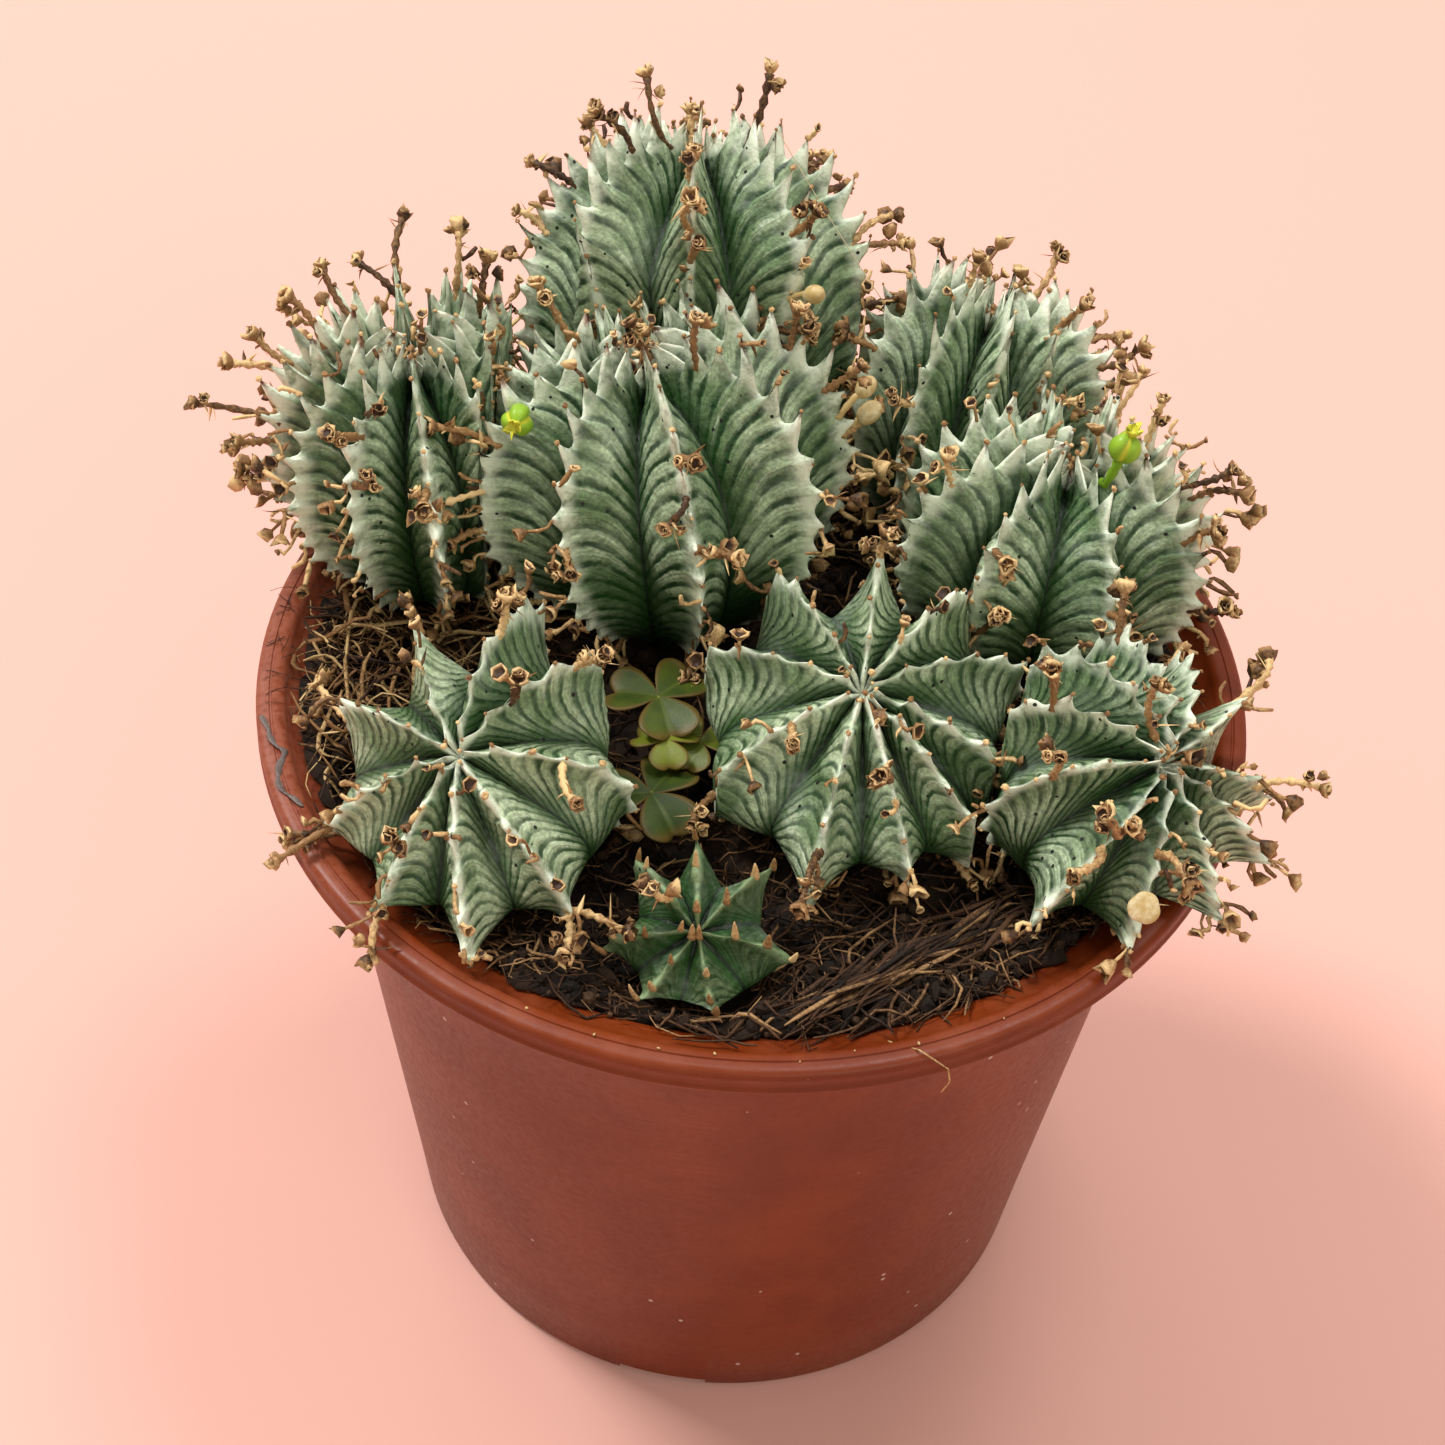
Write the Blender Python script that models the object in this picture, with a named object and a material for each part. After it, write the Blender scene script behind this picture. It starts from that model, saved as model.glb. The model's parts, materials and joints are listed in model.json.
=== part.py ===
"""A clump of ribbed, toothed milk barrel stems in a round plastic nursery pot.

The formulas work in millimetres, and each vertex is scaled to metres once.
The origin is the centre of the pot's base, +Z is up and the photo's near side is -Y.
"""

import math

import bmesh
import bpy
from mathutils import Matrix, Vector

# Driving sizes of the pot, in millimetres
MM = 0.001
GAP = 0.3
SHARP_ANGLE = math.radians(35.0)
RIM_RADIUS = 100.0
POT_HEIGHT = 159.04
COLLAR_BOTTOM = 152.9
BODY_TOP_RADIUS = 88.4
BASE_RADIUS = 72.5
WALL = 1.8
FLOOR_TOP = 5.4
FLOOR_FILLET = 2.0
CHANNEL_DEPTH = 2.6
PAD_RADIUS = 50.0
CHANNEL_RADIUS = 68.0
DRAIN_COUNT = 8
DRAIN_RADIUS = 4.0
DRAIN_RING = 59.0
DRAIN_SIDES = 12
NOTCH_COUNT = 4
NOTCH_WIDTH = 20.0
NOTCH_HEIGHT = 2.4
NOTCH_ANGLE = -98.0
POT_STEPS = 36

# The soil: its level, the low waves of its top and the holes that the stems stand in
SOIL_LEVEL = 148.0
SOIL_STEPS = 28
SOIL_RINGS = 7
SOIL_RING_SPACING = 0.8
SOIL_BUMP = 1.3
# Each wave as (turn per millimetre along X, the same along Y, phase, share)
SOIL_WAVES = ((0.21, 0.17, 0.9, 1.0), (0.37, -0.29, 0.0, 0.6))
SOIL_WALL_FADE = (66.0, 80.0)
SOIL_FOOT_FADE = (4.0, 12.0)
HOLE_DEPTH = 12.0
HOLE_SIDES = 14
HOLE_OVERCUT = 6.0

# The stems' feet, and how low a rib may hang over the soil and the rim
FOOT_DEPTH = 10.0
FOOT_LIFT = 1.4
FOOT_EDGE = 0.6
FOOT_ROWS = 3
RIB_CLEARANCE = 2.4
OVERHANG_START = 76.0
OVERHANG_SLOPE = 0.65
OVERHANG_LEVEL = 163.0
LIFT_SOFTNESS = 1.6
LIFT_REACH = 8.0

# A rib's columns of points run crest, flank, valley, flank
COLUMNS_PER_RIB = 4
FLANK_PLACE = 0.40
TOOTH_OUT = 3.4
TOOTH_UP = 1.7
NOTCH_IN = 0.7
# Near the top of a stem the teeth turn upright: from this rise, over this much of it
UPRIGHT_START = 0.45
UPRIGHT_SPAN = 0.45
UPRIGHT_OUT = 0.30

# Crest and valley of a rib, as (share of the radius, share of the length) from foot to tip
BARREL = {
    "crest": (
        (0.36, 0.03), (0.62, 0.14), (0.86, 0.32), (0.99, 0.54), (0.98, 0.73),
        (0.84, 0.90), (0.59, 1.01), (0.30, 1.02), (0.11, 0.95), (0.0, 0.91),
    ),
    "valley": (
        (0.32, 0.03), (0.50, 0.14), (0.61, 0.32), (0.66, 0.53), (0.60, 0.70),
        (0.46, 0.82), (0.27, 0.89), (0.11, 0.90), (0.03, 0.90), (0.0, 0.90),
    ),
    "spike": 5.5,
    "flank": 0.56,
}
DOME = {
    "crest": (
        (0.36, 0.03), (0.62, 0.14), (0.87, 0.31), (0.99, 0.50), (0.96, 0.67),
        (0.80, 0.82), (0.57, 0.92), (0.30, 0.97), (0.10, 0.96), (0.0, 0.94),
    ),
    "valley": (
        (0.32, 0.03), (0.50, 0.14), (0.62, 0.31), (0.67, 0.48), (0.62, 0.64),
        (0.47, 0.77), (0.29, 0.86), (0.12, 0.91), (0.03, 0.93), (0.0, 0.93),
    ),
    "spike": 5.5,
    "flank": 0.56,
}
STAR = {
    "crest": (
        (0.36, 0.04), (0.56, 0.12), (0.80, 0.27), (0.96, 0.44), (1.00, 0.60),
        (0.89, 0.79), (0.65, 0.94), (0.36, 1.02), (0.12, 1.00), (0.0, 0.95),
    ),
    "valley": (
        (0.35, 0.04), (0.52, 0.12), (0.68, 0.26), (0.74, 0.41), (0.72, 0.55),
        (0.60, 0.69), (0.40, 0.81), (0.19, 0.89), (0.06, 0.93), (0.0, 0.94),
    ),
    "spike": 1.0,
    "flank": 0.44,
}

# Every stem: where it stands, how it leans, its size and the ribs as (direction, share of radius)
STEMS = {
    "stem_1": {
        "base": (-68.2, 33.8), "lean": 150.0, "tilt": 8.0, "length": 57.0,
        "radius": 31.0, "foot": 6.8, "teeth": 6, "growth": BARREL,
        "ribs": ((-79, 1.0), (-110, 1.0), (-139, 1.0), (-168, 1.0), (163, 1.03), (134, 1.10),
                 (105, 1.16), (76, 1.16), (47, 1.10), (18, 0.95), (-13, 0.85), (-47, 0.9)),
    },
    "stem_2": {
        "base": (-16.5, 63.0), "lean": 93.0, "tilt": 32.0, "length": 84.0,
        "radius": 35.0, "foot": 11.5, "teeth": 8, "growth": DOME,
        "ribs": ((-92, 0.99), (-140, 1.0), (-178, 1.02), (146, 1.0), (112, 1.0), (77, 1.0),
                 (38, 1.02), (-3, 1.03), (-47, 1.02)),
    },
    "stem_3": {
        "base": (-19.0, 29.0), "lean": 135.0, "tilt": 18.0, "length": 60.0,
        "radius": 37.0, "foot": 12.0, "teeth": 7, "growth": BARREL,
        "ribs": ((-117, 0.97), (-75, 0.97), (-32, 1.0), (6, 1.02), (38, 1.0), (66, 0.95),
                 (92, 0.9), (119, 0.92), (148, 0.97), (177, 1.03), (-153, 1.05)),
    },
    "stem_4": {
        "base": (41.0, 58.0), "lean": 68.0, "tilt": 24.0, "length": 54.0,
        "radius": 27.0, "foot": 8.8, "teeth": 5, "growth": BARREL,
        "ribs": ((-125, 0.95), (-86, 0.95), (-50, 1.0), (-14, 1.0), (21, 1.0), (56, 1.0),
                 (91, 1.0), (126, 1.0), (162, 0.95), (-162, 0.95)),
    },
    "stem_5": {
        "base": (58.5, 23.0), "lean": 50.0, "tilt": 6.0, "length": 48.0,
        "radius": 31.0, "foot": 10.0, "teeth": 6, "growth": BARREL,
        "ribs": ((-125, 1.0), (-72, 0.97), (-28, 1.0), (5, 1.0), (35, 1.0), (65, 1.0),
                 (100, 1.0), (133, 1.0), (164, 1.0), (-162, 1.05)),
    },
    "stem_6": {
        "base": (20.8, -20.3), "lean": -95.0, "tilt": 19.0, "length": 35.0,
        "radius": 36.6, "foot": 12.0, "teeth": 5, "growth": STAR,
        "ribs": ((22, 0.92), (52, 1.05), (85, 1.04), (122, 0.99), (161, 0.95), (212, 0.98),
                 (258, 1.12), (288, 0.90), (312, 1.03), (336, 0.99)),
    },
    "stem_7": {
        "base": (-49.5, -40.7), "lean": -121.0, "tilt": 30.0, "length": 35.0,
        "radius": 33.0, "foot": 11.0, "teeth": 5, "growth": STAR,
        "ribs": ((41, 1.04), (75, 1.12), (113, 1.02), (150, 0.96), (198, 0.85), (240, 0.99),
                 (272, 1.12), (306, 0.96), (355, 0.87)),
    },
    "stem_8": {
        "base": (-7.6, -68.3), "lean": -93.0, "tilt": 30.0, "length": 17.0,
        "radius": 16.8, "foot": 5.4, "teeth": 2, "growth": STAR,
        "ribs": ((49, 1.10), (93, 1.11), (131, 1.11), (185, 0.96), (234, 0.87), (284, 0.87),
                 (352, 0.96)),
    },
    "stem_9": {
        "base": (67.5, -34.5), "lean": -44.0, "tilt": 36.0, "length": 40.0,
        "radius": 29.0, "foot": 6.5, "teeth": 5, "growth": STAR,
        "ribs": ((8, 1.02), (46, 1.08), (74, 1.02), (103, 1.06), (131, 1.02), (162, 0.95),
                 (198, 0.9), (242, 1.10), (273, 1.08), (308, 1.08), (341, 1.04)),
    },
}

# Planes that keep neighbours apart: (one, other, share of the way, tilt in degrees)
NEIGHBOURS = (
    ("stem_1", "stem_2", 0.46, 0.0),
    ("stem_1", "stem_3", 0.28, 0.0),
    ("stem_1", "stem_7", 0.50, 0.0),
    ("stem_2", "stem_3", 0.44, 8.0),
    ("stem_2", "stem_4", 0.58, 0.0),
    ("stem_3", "stem_4", 0.58, 0.0),
    ("stem_3", "stem_5", 0.53, 0.0),
    ("stem_3", "stem_6", 0.50, -14.0),
    ("stem_3", "stem_7", 0.53, 0.0),
    ("stem_4", "stem_5", 0.42, 10.0),
    ("stem_5", "stem_6", 0.46, -10.0),
    ("stem_5", "stem_9", 0.52, -10.0),
    ("stem_6", "stem_7", 0.52, 0.0),
    ("stem_6", "stem_8", 0.66, 0.0),
    ("stem_6", "stem_9", 0.56, 0.0),
    ("stem_7", "stem_8", 0.66, 0.0),
    ("stem_8", "stem_9", 0.40, 0.0),
    ("weed", "stem_3", 0.24, 0.0),
    ("weed", "stem_6", 0.26, 0.0),
    ("weed", "stem_7", 0.26, 0.0),
    ("weed", "stem_8", 0.34, 0.0),
)

# The most prominent dried flower stalks, each as (direction of its rib, rise on the crest,
# degrees that it turns aside, degrees that it lifts, length)
STALKS = {
    "stem_1": (
        (105, 0.60, -20, 50, 18), (76, 0.65, 0, 60, 14), (163, 0.65, -10, 60, 12),
        (163, 0.50, 0, 10, 13), (192, 0.50, 0, 30, 17), (250, 0.60, 0, 40, 12),
    ),
    "stem_2": (
        (220, 0.80, 0, 70, 16), (357, 0.80, -40, 70, 18), (220, 0.70, 0, 50, 13),
        (182, 0.60, 0, 30, 10), (268, 0.55, 0, 40, 13), (357, 0.50, 20, 40, 11),
        (313, 0.55, 0, 40, 8),
    ),
    "stem_3": (
        (285, 0.80, -30, 70, 12), (328, 0.75, 0, 80, 10), (243, 0.40, 40, 10, 10),
        (285, 0.50, -30, 0, 11),
    ),
    "stem_4": (
        (56, 0.65, 0, 60, 14), (310, 0.65, 0, 60, 11), (198, 0.80, 0, 90, 10),
        (346, 0.55, 0, 40, 11), (91, 0.40, 0, 0, 11),
    ),
    "stem_5": (
        (65, 0.60, -10, 40, 13), (35, 0.65, 10, 80, 11), (5, 0.60, 0, 30, 10),
        (235, 0.55, 40, 30, 10), (288, 0.45, 0, 20, 9),
    ),
    "stem_6": (
        (85, 0.60, -10, 60, 6), (212, 0.75, 60, 50, 11), (258, 0.60, 0, 40, 18),
        (288, 0.70, -40, 70, 11),
    ),
    "stem_7": (
        (198, 0.45, 20, 10, 12), (150, 0.40, -20, 0, 10), (306, 0.40, -30, 20, 10),
        (240, 0.70, 0, 80, 6),
    ),
    "stem_8": (
        (131, 0.75, 50, 70, 8),
    ),
    "stem_9": (
        (46, 0.55, 20, 30, 11), (8, 0.60, -10, 50, 12), (131, 0.85, 0, 40, 11),
        (242, 0.65, -20, 30, 12), (273, 0.70, 0, 60, 11),
    ),
}
STALK_SIDES = 4
STALK_RADIUS = 0.85
STALK_ROOT = 3.0
STALK_SAG = 0.006
HEAD_LENGTH = 3.4
NECK_LENGTH = 1.4
# Radius of a stalk at its root, its foot, its neck and the bottom and top of its head,
# as a share of its own
STALK_SHAPE = (1.15, 1.0, 0.85, 2.5, 2.2)

WEED_BASE = (-18.0, -27.0)
WEED_MIDDLE_HEIGHT = 16.0
WEED_ROOT = 4.0
WEED_CROWN = 2.2
PETIOLE_RADIUS = 0.65
PETIOLE_SIDES = 5
CROWN_SIDES = 8
LEAFLET_THICKNESS = 0.7
LEAFLET_SIDES = 8
LEAFLET_WIDTH = 0.52
LEAFLET_NOTCH = 0.30
LEAFLET_LIFT = 0.15
LEAFLETS = 3
# Each leaf as (sideways, forward, height above the soil, leaflet length)
WEED_LEAVES = (
    (0.5, 9.5, 18.0, 7.5),
    (1.5, 1.5, 15.0, 5.5),
    (-0.5, -8.0, 12.5, 6.5),
)


def clear_scene():
    """Removes every object of the startup scene."""
    for thing in list(bpy.data.objects):
        bpy.data.objects.remove(thing, do_unlink=True)


def new_collection(name, hidden=False):
    """A collection under the scene's own; a hidden one holds the cutters."""
    made = bpy.data.collections.new(name)
    made.hide_render = hidden
    bpy.context.scene.collection.children.link(made)
    return made


def new_material(name, colour, roughness):
    """A plain Principled material in one colour."""
    made = bpy.data.materials.new(name)
    made.use_nodes = True
    shader = made.node_tree.nodes["Principled BSDF"]
    shader.inputs["Base Color"].default_value = (*colour, 1.0)
    shader.inputs["Roughness"].default_value = roughness
    made.diffuse_color = (*colour, 1.0)
    return made


def add_object(name, mesh, collection, material=None):
    """Wraps a bmesh, given in millimetres, as an object in metres."""
    bmesh.ops.scale(mesh, vec=(MM, MM, MM), verts=mesh.verts)
    bmesh.ops.recalc_face_normals(mesh, faces=mesh.faces)
    data = bpy.data.meshes.new(name)
    mesh.to_mesh(data)
    mesh.free()
    made = bpy.data.objects.new(name, data)
    if material is not None:
        data.materials.append(material)
    else:
        made.hide_render = True
        made.display_type = "WIRE"
    collection.objects.link(made)
    return made


def shade_smooth(target):
    """Shades an object smooth, with sharp edges kept."""
    target.data.shade_smooth()
    target.data.set_sharp_from_angle(angle=SHARP_ANGLE)


def apply_boolean(target, operation, collection):
    """Cuts or joins every object of a collection, applies it and removes them."""
    modifier = target.modifiers.new(operation.title(), "BOOLEAN")
    modifier.operation = operation
    modifier.operand_type = "COLLECTION"
    modifier.collection = collection
    modifier.solver = "EXACT"
    bpy.context.view_layer.update()
    evaluated = target.evaluated_get(bpy.context.evaluated_depsgraph_get())
    result = bpy.data.meshes.new_from_object(evaluated)
    target.modifiers.clear()
    target.data = result
    for piece in list(collection.objects):
        bpy.data.objects.remove(piece, do_unlink=True)
    shade_smooth(target)


def spun(profile, steps):
    """A (radius, height) profile that starts and ends on the vertical axis, spun once round it."""
    mesh = bmesh.new()
    points = [mesh.verts.new((radius, 0.0, height)) for radius, height in profile]
    edges = [mesh.edges.new(pair) for pair in zip(points, points[1:])]
    bmesh.ops.spin(
        mesh, geom=points + edges, cent=(0, 0, 0), axis=(0, 0, 1),
        angle=math.tau, steps=steps, use_merge=True, use_duplicate=False,
    )
    bmesh.ops.remove_doubles(mesh, verts=mesh.verts, dist=0.01)
    return mesh


def body_radius(height):
    """The pot's outer radius below its collar."""
    return BASE_RADIUS + (BODY_TOP_RADIUS - BASE_RADIUS) * height / COLLAR_BOTTOM


def build_pot(collection, cutters, material):
    """The pot with its collar, its drained base ring and its notched foot."""
    profile = (
        (0.0, 0.0),
        (PAD_RADIUS, 0.0),
        (PAD_RADIUS + 1.0, CHANNEL_DEPTH),
        (CHANNEL_RADIUS - 0.8, CHANNEL_DEPTH),
        (CHANNEL_RADIUS, 0.0),
        (BASE_RADIUS - 0.6, 0.0),
        (body_radius(0.8), 0.8),
        (body_radius(COLLAR_BOTTOM - 1.0), COLLAR_BOTTOM - 1.0),
        (BODY_TOP_RADIUS + 0.7, COLLAR_BOTTOM - 0.2),
        (RIM_RADIUS - 0.9, COLLAR_BOTTOM),
        (RIM_RADIUS, COLLAR_BOTTOM + 0.6),
        (RIM_RADIUS, COLLAR_BOTTOM + 1.3),
        (RIM_RADIUS - 0.5, COLLAR_BOTTOM + 1.7),
        (RIM_RADIUS - 0.5, POT_HEIGHT - 0.9),
        (RIM_RADIUS - 1.3, POT_HEIGHT),
        (RIM_RADIUS - 5.0, POT_HEIGHT),
        (RIM_RADIUS - 5.8, POT_HEIGHT - 0.7),
        (RIM_RADIUS - 6.8, POT_HEIGHT - 3.2),
        (BODY_TOP_RADIUS - 0.6, POT_HEIGHT - 5.4),
        (BODY_TOP_RADIUS - WALL, POT_HEIGHT - 7.4),
        (body_radius(FLOOR_TOP + FLOOR_FILLET) - WALL, FLOOR_TOP + FLOOR_FILLET),
        (body_radius(FLOOR_TOP) - WALL - FLOOR_FILLET, FLOOR_TOP),
        (0.0, FLOOR_TOP),
    )
    pot = add_object("pot", spun(profile, POT_STEPS), collection, material)
    for index in range(DRAIN_COUNT):
        angle = math.tau * (index + 0.5) / DRAIN_COUNT
        place = Matrix.Translation((
            DRAIN_RING * math.cos(angle), DRAIN_RING * math.sin(angle), 0.5 * FLOOR_TOP,
        ))
        hole = bmesh.new()
        bmesh.ops.create_cone(
            hole, cap_ends=True, segments=DRAIN_SIDES, radius1=DRAIN_RADIUS,
            radius2=DRAIN_RADIUS, depth=2.0 * FLOOR_TOP, matrix=place,
        )
        add_object(f"drain_{index}", hole, cutters)
    for index in range(NOTCH_COUNT):
        angle = math.radians(NOTCH_ANGLE) + math.tau * index / NOTCH_COUNT
        place = Matrix.Rotation(angle, 4, "Z") @ Matrix.Translation((BASE_RADIUS, 0, 0))
        place = place @ Matrix.Diagonal((
            2.0 * (BASE_RADIUS - CHANNEL_RADIUS) + 2.0, NOTCH_WIDTH, 2.0 * NOTCH_HEIGHT, 1.0,
        ))
        box = bmesh.new()
        bmesh.ops.create_cube(box, size=1.0, matrix=place)
        add_object(f"notch_{index}", box, cutters)
    apply_boolean(pot, "DIFFERENCE", cutters)


def stem_frame(stem, height):
    """Centre and sideways directions of a leaning stem, at a distance along its middle line."""
    bend = math.radians(stem["tilt"])
    lean = math.radians(stem["lean"])
    along = max(height, 0.0)
    angle = bend * along / stem["length"]
    if angle > 1e-6:
        reach = along / angle * (1.0 - math.cos(angle))
        rise = along / angle * math.sin(angle)
    else:
        reach = 0.0
        rise = along
    turn = Matrix.Rotation(angle, 3, Vector((-math.sin(lean), math.cos(lean), 0.0)))
    centre = Vector((
        stem["base"][0] + reach * math.cos(lean),
        stem["base"][1] + reach * math.sin(lean),
        SOIL_LEVEL + rise + min(height, 0.0),
    ))
    return centre, turn


def smooth_value(points, share):
    """A smooth curve through evenly spaced pairs, read at a share from 0 to 1."""
    last = len(points) - 1
    place = min(max(share, 0.0), 1.0) * last
    index = min(int(place), last - 1)
    part = place - index
    before = points[max(index - 1, 0)]
    start = points[index]
    end = points[index + 1]
    after = points[min(index + 2, last)]
    return tuple(
        0.5 * (2 * b + (c - a) * part + (2 * a - 5 * b + 4 * c - d) * part**2
               + (3 * b - a - 3 * c + d) * part**3)
        for a, b, c, d in zip(before, start, end, after)
    )


def sorted_ribs(stem):
    """The ribs in order of direction, as (degrees from 0 to 360, share of radius)."""
    return sorted((direction % 360.0, share) for direction, share in stem["ribs"])


def rib_at(ribs, turn):
    """Direction and radius share at a number of ribs counted round the stem."""
    count = len(ribs)
    index = int(math.floor(turn)) % count
    part = turn - math.floor(turn)
    here, here_share = ribs[index]
    after, after_share = ribs[(index + 1) % count]
    gap = (after - here) % 360.0
    return math.radians(here + gap * part), here_share + (after_share - here_share) * part


def column_place(column, flank):
    """Ribs counted round the stem and share of the way to the crest, for one column of points."""
    rib, step = divmod(column, COLUMNS_PER_RIB)
    part, weight = (
        (0.0, 1.0),
        (FLANK_PLACE / 2, flank),
        (0.5, 0.0),
        (1.0 - FLANK_PLACE / 2, flank),
    )[step]
    return rib + part, weight


def stem_point(stem, ribs, turn, weight, rise, tooth):
    """A point of the upright stem's skin.

    turn counts ribs round the stem, weight runs from valley (0) to crest (1), rise from foot (0)
    to tip (1), and tooth is 1 on a tooth, -1 between two teeth and 0 elsewhere.
    Returns the direction, the radius and the height.
    """
    growth = stem["growth"]
    direction, share = rib_at(ribs, turn)
    outer = smooth_value(growth["crest"], rise)
    inner = smooth_value(growth["valley"], rise)
    radius = (inner[0] + (outer[0] * share - inner[0]) * weight) * stem["radius"]
    height = (inner[1] + (outer[1] - inner[1]) * weight) * stem["length"]
    upright = min(max((rise - UPRIGHT_START) / UPRIGHT_SPAN, 0.0), 1.0)
    if tooth > 0.0:
        radius += TOOTH_OUT * (1.0 + (UPRIGHT_OUT - 1.0) * upright)
        height += TOOTH_UP + growth["spike"] * upright
    elif tooth < 0.0:
        radius -= NOTCH_IN * (1.0 - upright)
        height -= NOTCH_IN * upright
    return direction, max(radius, 0.0), height


def separating_planes(name):
    """The half-spaces that hold one stem, as (point, outward normal) pairs."""
    planes = []
    for first, second, share, tilt in NEIGHBOURS:
        if name not in (first, second):
            continue
        ends = [middle_of(first), middle_of(second)]
        flat = Vector((ends[1].x - ends[0].x, ends[1].y - ends[0].y, 0.0))
        normal = flat.normalized()
        across = normal.cross(Vector((0.0, 0.0, 1.0)))
        normal = Matrix.Rotation(math.radians(tilt), 3, across) @ normal
        point = ends[0].lerp(ends[1], share)
        planes.append((point, normal if name == first else -normal))
    return planes


def middle_of(name):
    """The middle of a stem, or of the weed, for placing the planes between neighbours."""
    if name == "weed":
        return Vector((*WEED_BASE, SOIL_LEVEL + WEED_MIDDLE_HEIGHT))
    stem = STEMS[name]
    return stem_frame(stem, 0.5 * stem["length"])[0]


def lowest_height(x, y):
    """How low a stem may hang at a place: just above the soil, and over the rim beyond it."""
    floor = SOIL_LEVEL + RIB_CLEARANCE
    away = math.hypot(x, y)
    if away > OVERHANG_START:
        floor = min(floor + OVERHANG_SLOPE * (away - OVERHANG_START), OVERHANG_LEVEL)
    return floor


def kept_clear(centre, offset, planes):
    """A point of the skin, lifted off the soil and rim and drawn in from its neighbours' space."""
    point = centre + offset
    above = (point.z - lowest_height(point.x, point.y)) / LIFT_SOFTNESS
    if above < LIFT_REACH:
        point.z += LIFT_SOFTNESS * (math.log1p(math.exp(above)) - above)
    reach = point - centre
    share = 1.0
    for middle, normal in planes:
        room = max((middle - centre).dot(normal) - 0.5 * GAP, 0.5)
        outward = reach.dot(normal)
        if outward * share > room:
            share = room / outward
    return centre + reach * share


def placed_point(stem, planes, direction, radius, height):
    """Puts a point of the upright stem on the leaning one, in the stem's own space."""
    centre, tilt = stem_frame(stem, height)
    offset = tilt @ Vector((radius * math.cos(direction), radius * math.sin(direction), 0.0))
    return kept_clear(centre, offset, planes)


def build_stem(name, stem, collection, material):
    """One ribbed stem with toothed crests, standing on a smooth round foot."""
    ribs = sorted_ribs(stem)
    planes = separating_planes(name)
    skin_rows = 2 * stem["teeth"] + 2
    segments = COLUMNS_PER_RIB * len(ribs)
    rings = skin_rows + FOOT_ROWS
    mesh = bmesh.new()
    bmesh.ops.create_uvsphere(mesh, u_segments=segments, v_segments=rings + 1, radius=1.0)
    for vert in mesh.verts:
        level = round((rings + 1) * math.acos(max(-1.0, min(1.0, -vert.co.z))) / math.pi)
        column = round(math.atan2(vert.co.y, vert.co.x) / math.tau * segments) % segments
        if level <= FOOT_ROWS:
            vert.co = foot_point(stem, ribs, column, level)
            continue
        step = level - FOOT_ROWS - 1
        turn, weight = column_place(column, stem["growth"]["flank"])
        tooth = 0.0
        if column % COLUMNS_PER_RIB == 0 and 0 < step < skin_rows - 1:
            tooth = 1.0 if step % 2 else -1.0
        point = stem_point(stem, ribs, turn, weight, step / skin_rows, tooth)
        vert.co = placed_point(stem, planes, *point)
    return add_object(name, mesh, collection, material)


def foot_point(stem, ribs, column, level):
    """A point of the smooth foot: the pole, the bottom edge, the soil line and the neck."""
    direction = rib_at(ribs, column / COLUMNS_PER_RIB)[0]
    radius = (0.0, stem["foot"] - FOOT_EDGE, stem["foot"], stem["foot"])[level]
    depth = (-FOOT_DEPTH, -FOOT_DEPTH, -FOOT_DEPTH + FOOT_EDGE, FOOT_LIFT)[level]
    return Vector((
        stem["base"][0] + radius * math.cos(direction),
        stem["base"][1] + radius * math.sin(direction),
        SOIL_LEVEL + depth,
    ))


def fade(value, limits):
    """A straight ramp from 0 at the first limit to 1 at the second."""
    low, high = limits
    return min(1.0, max(0.0, (value - low) / (high - low)))


def soil_height(x, y):
    """Height of the soil's top, level at the wall and next to every foot."""
    wave = sum(
        share * math.sin(along * x + across * y + phase)
        for along, across, phase, share in SOIL_WAVES
    )
    calm = 1.0 - fade(math.hypot(x, y), SOIL_WALL_FADE)
    for base, radius in standing_places():
        distance = math.hypot(x - base[0], y - base[1]) - radius
        calm = min(calm, fade(distance, SOIL_FOOT_FADE))
    return SOIL_LEVEL + SOIL_BUMP * wave * calm


def standing_places():
    """Where each stem and the weed stand in the soil, as (centre, foot radius)."""
    places = [(stem["base"], stem["foot"]) for stem in STEMS.values()]
    places.append((WEED_BASE, WEED_CROWN))
    return places


def build_soil(collection, cutters, material):
    """The filling of the pot, with a plain hole for every foot."""
    wall = body_radius(SOIL_LEVEL) - WALL - GAP
    bottom = FLOOR_TOP + GAP
    profile = [
        (0.0, bottom),
        (body_radius(bottom) - WALL - FLOOR_FILLET - GAP, bottom),
        (body_radius(bottom + FLOOR_FILLET) - WALL - GAP, bottom + FLOOR_FILLET),
    ]
    profile += [
        (wall * (1.0 - ring / SOIL_RINGS) ** SOIL_RING_SPACING, SOIL_LEVEL)
        for ring in range(SOIL_RINGS + 1)
    ]
    mesh = spun(profile, SOIL_STEPS)
    for vert in mesh.verts:
        if vert.co.z > SOIL_LEVEL - 1.0:
            vert.co.z = soil_height(vert.co.x, vert.co.y)
    soil = add_object("soil", mesh, collection, material)
    for index, (base, radius) in enumerate(standing_places()):
        depth = HOLE_DEPTH if radius > WEED_CROWN else WEED_ROOT + 1.0
        middle = SOIL_LEVEL + 0.5 * (HOLE_OVERCUT - depth)
        place = Matrix.Translation((*base, middle))
        hole = bmesh.new()
        bmesh.ops.create_cone(
            hole, cap_ends=True, segments=HOLE_SIDES, radius1=radius + 2 * GAP,
            radius2=radius + 2 * GAP, depth=depth + HOLE_OVERCUT, matrix=place,
        )
        add_object(f"hole_{index}", hole, cutters)
    apply_boolean(soil, "DIFFERENCE", cutters)


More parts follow.
